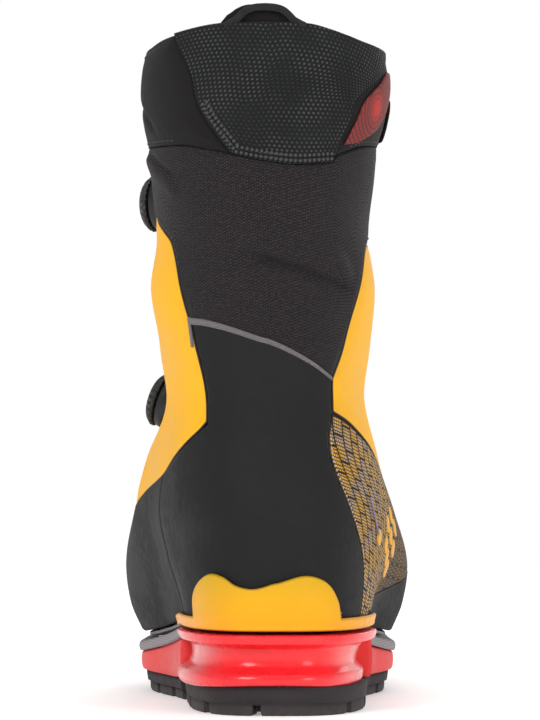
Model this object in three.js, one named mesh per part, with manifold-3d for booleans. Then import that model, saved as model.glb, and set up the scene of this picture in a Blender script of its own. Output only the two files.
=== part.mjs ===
// A left high-altitude double boot: sole unit, lasted outer boot with a gaiter, inner boot, two closure
// dials, front zip, cuff tab and pull loop. Millimetres, +Z up, the toe points along +Y, +X is medial.
// The origin is on the ground under the middle of the heel tread.
import * as THREE from "three";
import { mergeVertices } from "three/addons/utils/BufferGeometryUtils.js";
import Module from "manifold-3d";

const wasm = await Module();
wasm.setup();
const RAD = Math.PI / 180;

// ---------- driving dimensions ----------
// The form of the upper: level loops that run round the foot and the shaft. Each loop leaves the middle of
// the heel at height h and meets the middle of the front at (frontY, frontZ). lat and med are the half widths
// to each side of the heel centre plane, in the rear half of the loop and in its fore half, and dip is how far
// the loop drops beside the ball of the foot.
const FORM_KEYS = ["h", "rearY", "frontY", "frontZ", "latRear", "medRear", "latFore", "medFore", "dip"];
const FORM_ROWS = [
  [38, -41, 271, 31, 43.5, 42.5, 62, 52, 9],
  [50, -43.5, 277, 46, 47, 45.5, 68.5, 58, 8],
  [66, -46, 272, 64, 53, 49, 70.5, 60, 5.5],
  [86, -46.5, 243, 84, 57, 50, 66, 53, 3],
  [110, -43, 188, 103, 53, 43.5, 59, 43, 0],
  [136, -37, 141, 124, 48, 37, 49, 37.5, 0],
  [160, -36, 112, 150, 51.5, 39, 51.5, 39, 0],
  [183, -38, 100, 176, 55, 41.5, 55, 41.5, 0],
  [205, -40, 94.5, 201, 52.5, 38.5, 52.5, 38.5, 0],
  [235, -43, 86.8, 235, 55.5, 41, 55.5, 41, 0],
  [266, -45, 80, 266, 58.8, 46.8, 58.8, 46.8, 0],
  [284, -45, 76, 284, 57.5, 45.5, 57.5, 45.5, 0],
  [300, -42, 74, 300, 52, 40, 52, 40, 0],
];
const ROUNDNESS = 0.85; // below 1 makes the loops squarer than ellipses
const HEEL_SQUARENESS = 0.24; // how much squarer the heel end is at the sole line
const TOE_SWING = 7; // how far the toe swings to the medial side
const WAIST = 7; // how far the medial arch pulls in at the sole line
const FEATHER = 38; // the level of the seam between upper and sole

// Layers, as offsets from the outer surface of the upper.
const SKIN = { outer: 0, inner: -1.4 };
const SHELL = { outer: -3.4, inner: -5.6 };
const LINER = { outer: -7.2, inner: -11.2 };
const TONGUE = { outer: -12.4, inner: -15 };
const COLLAR = { outer: -3, inner: -10.8 };
const OVERLAY = { outer: 1.9, inner: 0.5 };

// Sole unit.
const HEEL_TREAD_TOP = 11.3;
const SOLE_SPLIT_Y = 42; // where the heel blocks end and the forefoot pieces start
const TOE_SPRING = 14;
const SPRING_START_Y = 185;
const TREAD_THICK = 9.6;
const LUG_DEPTH = 5;
const REAR_SLOT_DEPTH = 3.6;
const LEDGE_LEAN = 6; // how far the heel ledge's medial foot leans in
const CUP_FOOT = 36.2;
const CUP_BAND_TOP = 41.6;

// Closure dials.
const DIAL = { radius: 11.2, bore: 9.2, seat: 4.2, knobTall: 4.8, stem: 2.2, clearance: 1.5 };
const GUIDE = { post: 2.6, turn: 5.6 };
const LACE_RADIUS = 0.7;
const LACE_LIFT = 1.7;

// ---------- small maths ----------
const clamp01 = (x) => Math.min(1, Math.max(0, x));
const smooth = (x) => clamp01(x) ** 2 * (3 - 2 * clamp01(x));
const mix = (a, b, t) => a + (b - a) * t;

/** A smooth curve through [place, value] rows, with slopes taken from the neighbours. */
function through(rows) {
  const n = rows.length;
  const slope = rows.map((_, i) => {
    const [a, b] = [rows[Math.max(0, i - 1)], rows[Math.min(n - 1, i + 1)]];
    return (b[1] - a[1]) / (b[0] - a[0]);
  });
  return (x) => {
    const at = rows.findIndex((row) => row[0] > x);
    const i = Math.min(n - 2, Math.max(0, (at < 0 ? n : at) - 1));
    const [x0, y0] = rows[i];
    const [x1, y1] = rows[i + 1];
    const span = x1 - x0;
    const t = clamp01((x - x0) / span);
    const bend = (3 - 2 * t) * t * t;
    const rise = span * (t ** 3 - 2 * t * t + t) * slope[i] + span * (t ** 3 - t * t) * slope[i + 1];
    return mix(y0, y1, bend) + rise;
  };
}

const form = Object.fromEntries(
  FORM_KEYS.slice(1).map((key, k) => [key, through(FORM_ROWS.map((row) => [row[0], row[k + 1]]))]),
);

/** A point of the upper's outer surface. s is degrees round: 0 is the heel, 90 medial, -90 lateral. */
function formPoint(s, h) {
  const [c, n] = [Math.cos(s * RAD), Math.sin(s * RAD)];
  const low = 1 - smooth((h - FEATHER) / 40);
  const roundness = ROUNDNESS - HEEL_SQUARENESS * low * smooth(1.6 * c);
  const f = (1 - Math.sign(c) * Math.abs(c) ** roundness) / 2;
  const q = Math.sign(n) * Math.abs(n) ** roundness;
  const fore = smooth((f - 0.24) / 0.4);
  const half = mix(form.latRear(h) + form.medRear(h), form.latFore(h) + form.medFore(h), fore) / 2;
  const middle = mix(form.medRear(h) - form.latRear(h), form.medFore(h) - form.latFore(h), fore) / 2;
  const swing = TOE_SWING * (1 - smooth((h - 60) / 80)) * smooth((f - 0.68) / 0.32);
  const arch = WAIST * low * Math.exp(-(((f - 0.4) / 0.11) ** 2)) * (q > 0 ? 1 : 0.35);
  return new THREE.Vector3(
    middle + swing + (half - arch) * q,
    mix(form.rearY(h), form.frontY(h), f),
    heightOn(h, f),
  );
}

/** Height of the loop of level h at the share f of the way from heel to toe. */
function heightOn(h, f) {
  const dip = form.dip(h) * Math.sin(Math.PI * clamp01((f - 0.18) / 0.82)) ** 2;
  return mix(h, form.frontZ(h), smooth((f - 0.25) / 0.75)) - dip;
}

function formNormal(s, h) {
  const along = formPoint(s + 0.8, h).sub(formPoint(s - 0.8, h));
  const up = formPoint(s, h + 0.8).sub(formPoint(s, h - 0.8));
  return along.cross(up).normalize();
}

const onForm = (s, h, lift = 0) => formPoint(s, h).addScaledVector(formNormal(s, h), lift);

// ---------- solids ----------
/** A geometry from points and faces, turned the right way out. */
function solid(points, faces) {
  const volume = faces.reduce((sum, [a, b, c]) => sum + points[a].dot(points[b].clone().cross(points[c])), 0);
  const index = faces.flatMap(([a, b, c]) => (volume < 0 ? [a, c, b] : [a, b, c]));
  const geometry = new THREE.BufferGeometry().setFromPoints(points).setIndex(index);
  geometry.computeVertexNormals();
  return geometry;
}

/** A solid skinned over loops of equally many points; each end is closed by a ladder across its loop. */
function loft(loops) {
  const count = loops[0].length;
  const faces = [];
  for (let k = 0; k + 1 < loops.length; k++)
    for (let i = 0; i < count; i++) {
      const [a, b] = [k * count + i, k * count + ((i + 1) % count)];
      faces.push([a, b, b + count], [a, b + count, a + count]);
    }
  const last = (loops.length - 1) * count;
  let [i, j] = [0, count - 1];
  for (let left = true; j - i > 1; left = !left) {
    const third = left ? i + 1 : j - 1;
    faces.push([i, j, third], [last + j, last + i, last + third]);
    if (left) i++;
    else j--;
  }
  return solid(loops.flat(), faces);
}

/** A curved plate between an outer and an inner surface, both functions of u and v from 0 to 1. */
function plate(outer, inner, across, up) {
  const points = [];
  const faces = [];
  for (const surface of [outer, inner])
    for (let j = 0; j <= up; j++) for (let i = 0; i <= across; i++) points.push(surface(i / across, j / up));
  const at = (side, i, j) => side * (across + 1) * (up + 1) + j * (across + 1) + i;
  const quad = (a, b, c, d) => faces.push([a, b, c], [a, c, d]);
  for (let j = 0; j < up; j++)
    for (let i = 0; i < across; i++) {
      quad(at(0, i, j), at(0, i + 1, j), at(0, i + 1, j + 1), at(0, i, j + 1));
      quad(at(1, i, j + 1), at(1, i + 1, j + 1), at(1, i + 1, j), at(1, i, j));
    }
  for (let i = 0; i < across; i++) {
    quad(at(1, i, 0), at(1, i + 1, 0), at(0, i + 1, 0), at(0, i, 0));
    quad(at(0, i, up), at(0, i + 1, up), at(1, i + 1, up), at(1, i, up));
  }
  for (let j = 0; j < up; j++) {
    quad(at(1, 0, j + 1), at(1, 0, j), at(0, 0, j), at(0, 0, j + 1));
    quad(at(0, across, j + 1), at(0, across, j), at(1, across, j), at(1, across, j + 1));
  }
  return solid(points, faces);
}

/** A smooth line through [s, h] points for t from 0 to 1; a list of such lists is one after another. */
function seam(points) {
  if (Array.isArray(points[0][0])) {
    const runs = points.map(seam);
    return (t) => {
      const run = Math.min(runs.length - 1, Math.floor(t * runs.length));
      return runs[run](clamp01(t * runs.length - run));
    };
  }
  const far = points.map((p, i) => (i ? Math.hypot(p[0] - points[i - 1][0], p[1] - points[i - 1][1]) : 0));
  let sum = 0;
  const place = far.map((d) => (sum += d));
  const [s, h] = [0, 1].map((k) => through(points.map((p, i) => [place[i] / sum, p[k]])));
  return (t) => [s(t), h(t)];
}

/** A panel between four seams that share corners: bottom and top run to rising s, left and right go up. */
function panel({ bottom, top, left, right, layer = SKIN, across = 10, up = 6, gap = 0.45 }) {
  const [b, t, l, r] = [bottom, top, left, right].map(seam);
  const flat = (u, v) =>
    [0, 1].map((k) => {
      const sides = mix(l(v)[k], r(v)[k], u) + mix(b(u)[k], t(u)[k], v);
      return sides - mix(mix(b(0)[k], b(1)[k], u), mix(t(0)[k], t(1)[k], u), v);
    });
  const wide = onForm(...flat(0, 0.5)).distanceTo(onForm(...flat(1, 0.5)));
  const tall = onForm(...flat(0.5, 0)).distanceTo(onForm(...flat(0.5, 1)));
  const [eu, ev] = [gap / wide, gap / tall];
  const at = (lift) => (u, v) => onForm(...flat(mix(eu, 1 - eu, u), mix(ev, 1 - ev, v)), lift);
  return plate(at(layer.outer), at(layer.inner), across, up);
}

/** The same solid with its shared points merged and its faces pointing out. */
function closed(geometry) {
  const bare = new THREE.BufferGeometry().setAttribute("position", geometry.getAttribute("position").clone());
  if (geometry.index) bare.setIndex(geometry.index.clone());
  const { index, attributes } = mergeVertices(bare, 1e-3);
  const points = Array.from({ length: attributes.position.count }, (_, i) =>
    new THREE.Vector3().fromBufferAttribute(attributes.position, i),
  );
  const corners = Array.from(index.array);
  const faces = Array.from({ length: corners.length / 3 }, (_, i) => corners.slice(3 * i, 3 * i + 3));
  return solid(points, faces.filter(([a, b, c]) => a !== b && b !== c && c !== a));
}

const toManifold = (geometry) => {
  const merged = closed(geometry);
  return new wasm.Manifold(
    new wasm.Mesh({
      numProp: 3,
      vertProperties: merged.attributes.position.array,
      triVerts: new Uint32Array(merged.index.array),
    }),
  );
};
const fromManifold = (made) => {
  const mesh = made.getMesh();
  const geometry = new THREE.BufferGeometry()
    .setAttribute("position", new THREE.BufferAttribute(Float32Array.from(mesh.vertProperties), 3))
    .setIndex(new THREE.BufferAttribute(Uint32Array.from(mesh.triVerts), 1));
  geometry.computeVertexNormals();
  return geometry;
};
const cut = (body, ...tools) =>
  fromManifold(tools.reduce((left, tool) => left.subtract(toManifold(tool)), toManifold(body)));
const join = (body, ...more) =>
  fromManifold(more.reduce((sum, piece) => sum.add(toManifold(piece)), toManifold(body)));

const block = (x, y, z, wide, deep, tall, turn = 0) =>
  new THREE.BoxGeometry(wide, deep, tall).rotateZ(turn).translate(x, y, z);

/** A many-sided rod that follows a curve. */
function rod(curve, radius, sides, steps) {
  const corners = Array.from({ length: sides }, (_, i) => (2 * Math.PI * i) / sides);
  const rim = corners.map((a) => new THREE.Vector2(radius * Math.cos(a), radius * Math.sin(a)));
  const section = new THREE.Shape(rim);
  return closed(new THREE.ExtrudeGeometry(section, { steps, bevelEnabled: false, extrudePath: curve }));
}

/** A turned piece about the Z axis from [radius, height] points. */
function turned(profile, segments = 24) {
  const points = profile.map(([r, z]) => new THREE.Vector2(r, z));
  return closed(new THREE.LatheGeometry(points, segments).rotateX(Math.PI / 2));
}

// ---------- materials ----------
const finish = (color, roughness, metalness = 0) =>
  new THREE.MeshStandardMaterial({ color, roughness, metalness });
const rubber = finish(0x2b2a2b, 0.75);
const treadRubber = finish(0x262425, 0.85);
const yellowFabric = finish(0xf2b612, 0.7);
const scaleKnit = finish(0xa8832c, 0.75);
const blackFabric = finish(0x272223, 0.9);
const yokeFabric = finish(0x252525, 0.85);
const badgeFabric = finish(0x8e3a33, 0.8);
const redPlastic = finish(0xee2e33, 0.35);
const yellowPlastic = finish(0xf7b008, 0.4);
const greyBoard = finish(0x8a8587, 0.7);
const foam = finish(0x1d1c1d, 0.95);
const shellBoard = finish(0x3a3a3c, 0.9);
const dialPlastic = finish(0x1a1a1b, 0.45);
const steel = finish(0x9a9a9c, 0.35, 0.9);
const carbon = finish(0x151515, 0.4);

const boot = new THREE.Group();
boot.name = "mountaineering_boot";
function add(name, geometry, material) {
  const mesh = new THREE.Mesh(geometry, material);
  mesh.name = name;
  boot.add(mesh);
  return mesh;
}

// ---------- sole unit ----------
/** Height of the ground side of the sole at y: flat to the ball, then the toe spring. */
const groundAt = (y) => TOE_SPRING * clamp01((y - SPRING_START_Y) / (278 - SPRING_START_Y)) ** 1.8;
/** Underside of the upper at y, just below its feather line. */
function featherAt(y) {
  const f = clamp01((y - form.rearY(FEATHER)) / (form.frontY(FEATHER) - form.rearY(FEATHER)));
  return heightOn(FEATHER, f) - 2.6;
}

/** The sole's outline grown by a lift and cut straight across where the heel block ends or the toe part starts. */
function soleLoop({ heelTo, toeFrom, lift, heightAt, count = 40 }) {
  const keep = (p) => (heelTo === undefined || p.y <= heelTo) && (toeFrom === undefined || p.y >= toeFrom);
  const start = heelTo === undefined ? 0 : -180;
  const points = [];
  for (let i = 0, last; i <= 180; i++) {
    const s = start + 2 * i;
    const away = formNormal(s, FEATHER + 4).setZ(0).normalize();
    const p = formPoint(s, FEATHER).addScaledVector(away, lift).setZ(0);
    if (last && keep(last) !== keep(p)) {
      const cutY = heelTo ?? toeFrom;
      points.push(last.clone().lerp(p, (cutY - last.y) / (p.y - last.y)));
    }
    if (keep(p)) points.push(p);
    last = p;
  }
  const whole = heelTo === undefined && toeFrom === undefined;
  if (whole) points.pop();
  const curve = new THREE.CatmullRomCurve3(points, whole, "centripetal");
  const spaced = curve.getSpacedPoints(whole ? count : count - 1).slice(0, count);
  return spaced.map((p) => p.setZ(heightAt(p.y)));
}

function heelTread() {
  const loop = (lift, z) => soleLoop({ heelTo: SOLE_SPLIT_Y + 8, lift, heightAt: () => z, count: 26 });
  const body = loft([loop(-3.2, 0), loop(-1.2, 3), loop(-0.6, HEEL_TREAD_TOP)]);
  const grooves = [-20, 14].map((y) => block(0, y, 0, 120, 5, 2 * LUG_DEPTH));
  const rearSlot = block(-9.8, -36, 0, 2.6, 26, 2 * REAR_SLOT_DEPTH);
  const sideSlots = [-1, 1].map((side) => block(side * 40, 32, 0, 34, 4.5, 2 * LUG_DEPTH));
  return cut(body, ...grooves, rearSlot, ...sideSlots);
}

function forefootTread() {
  const toeFrom = SOLE_SPLIT_Y + 26;
  const loop = (lift, rise) => soleLoop({ toeFrom, lift, heightAt: (y) => groundAt(y) + rise, count: 34 });
  const body = loft([loop(-2.6, 0), loop(-0.6, 3), loop(-0.4, TREAD_THICK)]);
  const rows = [92, 118, 144, 170, 196, 222, 246];
  const tools = rows.flatMap((y) =>
    [-1, 1].map((side) => block(side * 41, y, groundAt(y), 46, 4.6, 2 * LUG_DEPTH, side * -0.25)),
  );
  return cut(body, ...tools);
}

/** The heel ledge: two lips with the crampon groove between them; its medial side leans in near the ground. */
function heelLedge() {
  const profile = [[1.6, 11.7], [3.2, 14.5], [2.8, 17.6], [-1.8, 20.4], [-2.6, 25], [-1.6, 28.4], [3, 30.6]];
  const loop = (lift, heightAt) => soleLoop({ heelTo: SOLE_SPLIT_Y, lift, heightAt, count: 28 });
  const loops = profile.map(([lift, z]) => loop(lift, () => z));
  const top = loop(3.6, (y) => featherAt(y) - 0.8);
  for (const p of loops.flat()) p.x -= LEDGE_LEAN * clamp01(p.x / 38) * (1 - smooth((p.z - 11.7) / 21));
  return loft([...loops, top]);
}

function midsole() {
  const bottom = (y) => mix(12, groundAt(y) + TREAD_THICK + 0.4, smooth((y - SOLE_SPLIT_Y) / 40));
  const top = (y) => featherAt(y) - 5.4;
  const middle = (y) => (bottom(y) + top(y)) / 2;
  const loop = (lift, heightAt) => soleLoop({ toeFrom: SOLE_SPLIT_Y + 0.6, lift, heightAt, count: 36 });
  return loft([loop(1.2, bottom), loop(1.9, middle), loop(1.6, top)]);
}

function weltBoard() {
  const loop = (lift, drop) =>
    soleLoop({ toeFrom: SOLE_SPLIT_Y + 0.6, lift, heightAt: (y) => featherAt(y) - drop, count: 36 });
  return loft([loop(2.4, 5), loop(2.9, 2.6), loop(2.2, 0.6)]);
}

/** Front crampon ledge: a lip round the toe with a groove under it. */
function toeWelt() {
  const section = [[3.5, -5.2], [7.4, -4.6], [7.8, -1], [5.2, -0.2], [3.5, -0.6]];
  const loops = Array.from({ length: 17 }, (_, i) => {
    const s = mix(152, 208, i / 16);
    const away = formNormal(s, FEATHER + 4).setZ(0).normalize();
    return section.map(([lift, z]) => {
      const p = formPoint(s, FEATHER).addScaledVector(away, lift);
      return p.setZ(featherAt(p.y) + z);
    });
  });
  return loft(loops);
}

/** Heel cup: a band on the ledge and two lobes that climb the heel. */
function heelCup() {
  const lobes = through([
    [-36, 42], [-34, 50], [-30, 57], [-23, 60.5], [-14, 58.5], [-5, 55], [4, 54.6], [12, 58], [19, 59.5],
    [25, 55], [28, 49], [30, 42],
  ]);
  const rise = [-37, -36, -34, -31, -27, -22, -16, -10, -4, 2, 8, 14, 19, 23, 26, 28.5, 30, 31];
  const stops = [-74, -64, -54, -44, ...rise, 40, 49, 58, 66];
  const topAt = (s) => (s > -36 && s < 30 ? lobes(s) : CUP_BAND_TOP);
  const at = (u) => stops[Math.round(u * (stops.length - 1))];
  const surface = (lift) => (u, v) => onForm(at(u), mix(CUP_FOOT, topAt(at(u)), v), lift);
  return plate(surface(2.6), surface(0.5), stops.length - 1, 3);
}

/** A plate under the foot, between two heights over the feather line. */
function floorPlate(lift, low, high, toeFrom) {
  const loop = (z) => soleLoop({ toeFrom, lift, heightAt: (y) => featherAt(y) + z, count: 32 });
  return loft([loop(low), loop(high)]);
}

add("heel_tread", heelTread(), treadRubber);
add("forefoot_tread", forefootTread(), treadRubber);
add("heel_ledge", heelLedge(), redPlastic);
add("midsole", midsole(), redPlastic);
add("welt_board", weltBoard(), greyBoard);
add("toe_welt", toeWelt(), treadRubber);
add("heel_cup", heelCup(), yellowPlastic);
add("stiffening_plate", floorPlate(-6, 0.1, 1.7, 0), carbon);
add("insole_board", floorPlate(-1.5, 2, 3.2), greyBoard);

// ---------- inside: shells and inner boot ----------
const SHAFT_SPLIT = 152; // level where the foot pieces end and the shaft pieces start
const HALVES = { lateral: [-180, 0], medial: [0, 180] };
for (const [side, [from, to]] of Object.entries(HALVES)) {
  const half = (low, high, layer) =>
    panel({
      bottom: [[from, low], [to, low]],
      top: [[from, high], [to, high]],
      left: [[from, low], [from, high]],
      right: [[to, low], [to, high]],
      across: 14,
      up: 7,
      layer,
    });
  add(`shell_foot_${side}`, half(42, SHAFT_SPLIT, SHELL), shellBoard);
  add(`shell_shaft_${side}`, half(SHAFT_SPLIT, 281, SHELL), shellBoard);
  add(`liner_foot_${side}`, half(42, SHAFT_SPLIT, LINER), foam);
  add(`liner_shaft_${side}`, half(SHAFT_SPLIT, 281, LINER), foam);
}
add("liner_sole", floorPlate(-7, 3.6, 5.6), foam);
add("footbed", floorPlate(-12, 6.1, 9.6), foam);
add("liner_tongue", panel({
  bottom: [[163, 112], [180, 112], [197, 112]],
  top: [[163, 294], [180, 297], [197, 294]],
  left: [[163, 112], [163, 294]],
  right: [[197, 112], [197, 294]],
  layer: TONGUE,
  across: 4,
  up: 9,
}), foam);
add("liner_collar", panel({
  bottom: [[-179, 283], [0, 283], [179, 283]],
  top: [[-179, 290], [-90, 287], [-40, 290], [0, 297.5], [30, 291], [90, 285.5], [179, 290]],
  left: [[-179, 283], [-179, 290]],
  right: [[179, 283], [179, 290]],
  layer: COLLAR,
  across: 28,
  up: 1,
}), foam);

// ---------- upper panels ----------
// Seams as [degrees round, level]. Neighbours share them; the front middle is at 180 or -180.
const FRONT_EDGE = 118; // where the side panels meet the front ones
const ZIP_S = 140;
const TRIM = [[-39, 168.5], [-28, 167.5], [-14, 164.6], [0, 160], [12, 155], [25, 149.5], [38, 143.5]];
const RUBBER_LEFT = [[-31, 125], [-33, 138], [-36, 153], [-39, 168.5]];
const RUBBER_RIGHT = [[37, 129], [38, 136], [38, 143.5]];
const RUBBER_FOOT_RIGHT = [
  [44.5, 40], [44.5, 58], [43, 70], [37, 84], [32, 100], [30, 110], [31, 119], [37, 129],
];
const RAND_TOP = [
  [-118, 82.5], [-100, 88], [-84, 94], [-64, 101], [-54, 109], [-44, 116], [-36, 121], [-31, 125],
];
const FLANK_TOP_LEFT = [
  [-118, 209], [-92, 216], [-80, 212], [-66, 207], [-56, 202], [-46, 189], [-39, 168.5],
];
const FLANK_TOP_RIGHT = [[38, 143.5], [44, 154], [51, 173], [60, 188], [72, 199], [86, 203], [118, 203]];
const SCALE_TOP = [[37, 129], [50, 124], [64, 116], [84, 104], [104, 94], [118, 88]];
const VAMP_TOP = [[118, 88], [140, 107], [160, 115], [180, 118], [210, 116], [228, 108], [242, 100]];
const RAND_SPLIT = -62; // the heel rubber ends here and the lateral rand starts
const CUFF_FOOT = 243;
const CUFF_RIM = 285;
const YOKE_FOOT = [[-12, 239], [10, 235], [34, 236]];
const YOKE_LEFT = [[-12, 239], [-24, 253], [-29, 261], [-33, 274.5], [-48, 291]];
const YOKE_RIGHT = [[34, 236], [41, 253], [45, 264], [69, 275], [84, 284.5]];
const RAND_MEDIAL_TOP = [[62, 42], [80, 51], [95, 60], [FRONT_EDGE, 70]];

/** The points of a seam between two places round the loop. */
const part = (points, from, to) => points.filter(([s]) => s >= from - 1e-6 && s <= to + 1e-6);
const upright = (s, low, high) => [[s, low], [s, (low + high) / 2], [s, high]];

function heelRubber() {
  const low = panel({
    bottom: [[RAND_SPLIT, 40], [-30, 40], [0, 40], [30, 40], [44.5, 40]],
    top: [
      [[RAND_SPLIT, 102.5], [-54, 109], [-44, 116], [-36, 121], [-31, 124]],
      [[-31, 124], [0, 123], [31, 119]],
    ],
    left: upright(RAND_SPLIT, 40, 102.5),
    right: RUBBER_FOOT_RIGHT.slice(0, -1),
    across: 12,
    up: 7,
  });
  const high = panel({
    bottom: [[-31, 121], [0, 121], [15, 120], [31, 117]],
    top: TRIM,
    left: [[-31, 121], [-31, 125], ...RUBBER_LEFT.slice(1)],
    right: [[31, 117], [37, 129], [38, 136], [38, 143.5]],
    across: 9,
    up: 4,
  });
  return join(low, high);
}

add("heel_rubber", heelRubber(), rubber);
add("rand_lateral", panel({
  bottom: [[-150, 40], [-120, 40], [-90, 40], [RAND_SPLIT, 40]],
  top: [[-150, 76], [-140, 77], ...part(RAND_TOP, -118, -84), [RAND_SPLIT, 102.5]],
  left: upright(-150, 40, 76),
  right: upright(RAND_SPLIT, 40, 102.5),
  up: 4,
  gap: 0.8,
}), rubber);
add("rand_medial", panel({
  bottom: [[62, 40], [95, 40], [120, 40], [150, 40]],
  top: [RAND_MEDIAL_TOP, [[FRONT_EDGE, 70], [150, 76]]],
  left: [[62, 40], [62, 42]],
  right: upright(150, 40, 76),
  up: 3,
  gap: 0.95,
}), rubber);
add("toe_cap", panel({
  bottom: [[150, 40], [180, 40], [210, 40]],
  top: [[150, 76], [165, 79], [180, 80], [195, 79], [210, 76]],
  left: upright(150, 40, 76),
  right: upright(210, 40, 76),
  across: 12,
  up: 4,
}), rubber);
add("scale_panel", panel({
  bottom: [[[44.5, 40], [53, 40], [62, 42]], RAND_MEDIAL_TOP],
  top: SCALE_TOP,
  left: RUBBER_FOOT_RIGHT,
  right: upright(FRONT_EDGE, 70, 88),
  across: 14,
  up: 7,
  gap: 0.6,
}), scaleKnit);
add("edge_trim", panel({
  bottom: TRIM.map(([s, h]) => [s, h - 2.2]),
  top: TRIM.map(([s, h]) => [s, h + 1.6]),
  left: [[-39, 166.3], [-39, 170.1]],
  right: [[38, 141.3], [38, 145.1]],
  layer: OVERLAY,
  across: 12,
  up: 1,
}), greyBoard);
add("flank_lateral", panel({
  bottom: RAND_TOP,
  top: FLANK_TOP_LEFT,
  left: upright(-FRONT_EDGE, 82.5, 209),
  right: RUBBER_LEFT,
  across: 9,
  up: 8,
}), yellowFabric);
add("flank_medial", panel({
  bottom: SCALE_TOP,
  top: FLANK_TOP_RIGHT,
  left: RUBBER_RIGHT,
  right: upright(FRONT_EDGE, 88, 203),
  across: 9,
  up: 8,
}), yellowFabric);
add("gaiter_rear", panel({
  bottom: [FLANK_TOP_LEFT, TRIM, FLANK_TOP_RIGHT],
  top: [
    [[-FRONT_EDGE, CUFF_FOOT], [-39, CUFF_FOOT]],
    [[-39, CUFF_FOOT], [-12, 239], ...YOKE_FOOT.slice(1), [38, 239]],
    [[38, 239], [60, CUFF_FOOT], [FRONT_EDGE, CUFF_FOOT]],
  ],
  left: upright(-FRONT_EDGE, 209, CUFF_FOOT),
  right: upright(FRONT_EDGE, 203, CUFF_FOOT),
  across: 27,
  up: 5,
  gap: 0.7,
}), blackFabric);
add("vamp", panel({
  bottom: [
    [FRONT_EDGE, 70.5], [135, 74], [150, 76.5], [165, 79.5], [180, 80.5], [195, 79.5], [210, 76.5], [225, 79],
    [242, 83],
  ],
  top: VAMP_TOP,
  left: upright(FRONT_EDGE, 70.5, 88),
  right: [[242, 83], [242, 100]],
  across: 14,
  up: 4,
  gap: 0.5,
}), yellowFabric);
add("gaiter_front_medial", panel({
  bottom: [[FRONT_EDGE, 88], [129, 98], [ZIP_S, 107]],
  top: [[FRONT_EDGE, CUFF_FOOT], [ZIP_S, CUFF_FOOT]],
  left: upright(FRONT_EDGE, 88, CUFF_FOOT),
  right: upright(ZIP_S, 107, CUFF_FOOT),
  across: 3,
  up: 12,
}), blackFabric);
add("gaiter_front", panel({
  bottom: VAMP_TOP.slice(1),
  top: [[ZIP_S, CUFF_FOOT], [180, CUFF_FOOT], [242, CUFF_FOOT]],
  left: upright(ZIP_S, 107, CUFF_FOOT),
  right: upright(242, 100, CUFF_FOOT),
  across: 12,
  up: 13,
}), blackFabric);
add("rear_yoke", panel({
  bottom: YOKE_FOOT,
  top: [[-48, 291], [-21, 294.5], [0, 295], [19, 294.5], [32, 292], [41, 290], [54, 287.5], [84, 284.5]],
  left: YOKE_LEFT,
  right: YOKE_RIGHT,
  across: 12,
  gap: 0.65,
}), yokeFabric);
add("cuff_lateral", panel({
  bottom: [[[-220, CUFF_FOOT], [-130, CUFF_FOOT], [-39, CUFF_FOOT]], [[-39, CUFF_FOOT], [-12, 239]]],
  top: [[[-220, CUFF_RIM], [-120, CUFF_RIM]], [[-120, CUFF_RIM], [-75, 286.5], [-58, 289.5], [-48, 291]]],
  left: upright(-220, CUFF_FOOT, CUFF_RIM),
  right: YOKE_LEFT,
  across: 24,
  up: 4,
}), yokeFabric);
add("cuff_medial", panel({
  bottom: [[34, 236], [38, 239], [60, CUFF_FOOT], [100, CUFF_FOOT], [ZIP_S, CUFF_FOOT]],
  top: [[84, 284.5], [ZIP_S, CUFF_RIM]],
  left: YOKE_RIGHT,
  right: upright(ZIP_S, CUFF_FOOT, CUFF_RIM),
  up: 4,
}), yokeFabric);
add("cuff_badge", panel({
  bottom: [[40, 243], [46, 243.5], [50, 244]],
  top: [[70, 273], [80, 276], [90, 274]],
  left: [[40, 243], [46, 254], [51, 263], [70, 273]],
  right: [[50, 244], [70, 252], [82, 262], [90, 274]],
  layer: { outer: 1, inner: 0.4 },
  across: 4,
  up: 5,
}), badgeFabric);

// ---------- fittings ----------
/** A place on the upper as a matrix: Z stands out of the surface, Y runs up it. */
function seat(s, h, lift) {
  const out = formNormal(s, h);
  const up = formPoint(s, h + 1).sub(formPoint(s, h - 1));
  up.addScaledVector(out, -up.dot(out)).normalize();
  return new THREE.Matrix4().makeBasis(up.clone().cross(out), up, out).setPosition(onForm(s, h, lift));
}

/** The place dx millimetres round and dy up from (s, h). */
function beside(s, h, dx, dy) {
  const wide = formPoint(s + 1, h).distanceTo(formPoint(s - 1, h)) / 2;
  const tall = formPoint(s, h + 1).distanceTo(formPoint(s, h - 1)) / 2;
  return [s + dx / wide, h + dy / tall];
}

function place(name, geometry, material, matrix) {
  const mesh = add(name, geometry, material);
  matrix.decompose(mesh.position, mesh.quaternion, mesh.scale);
}

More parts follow.
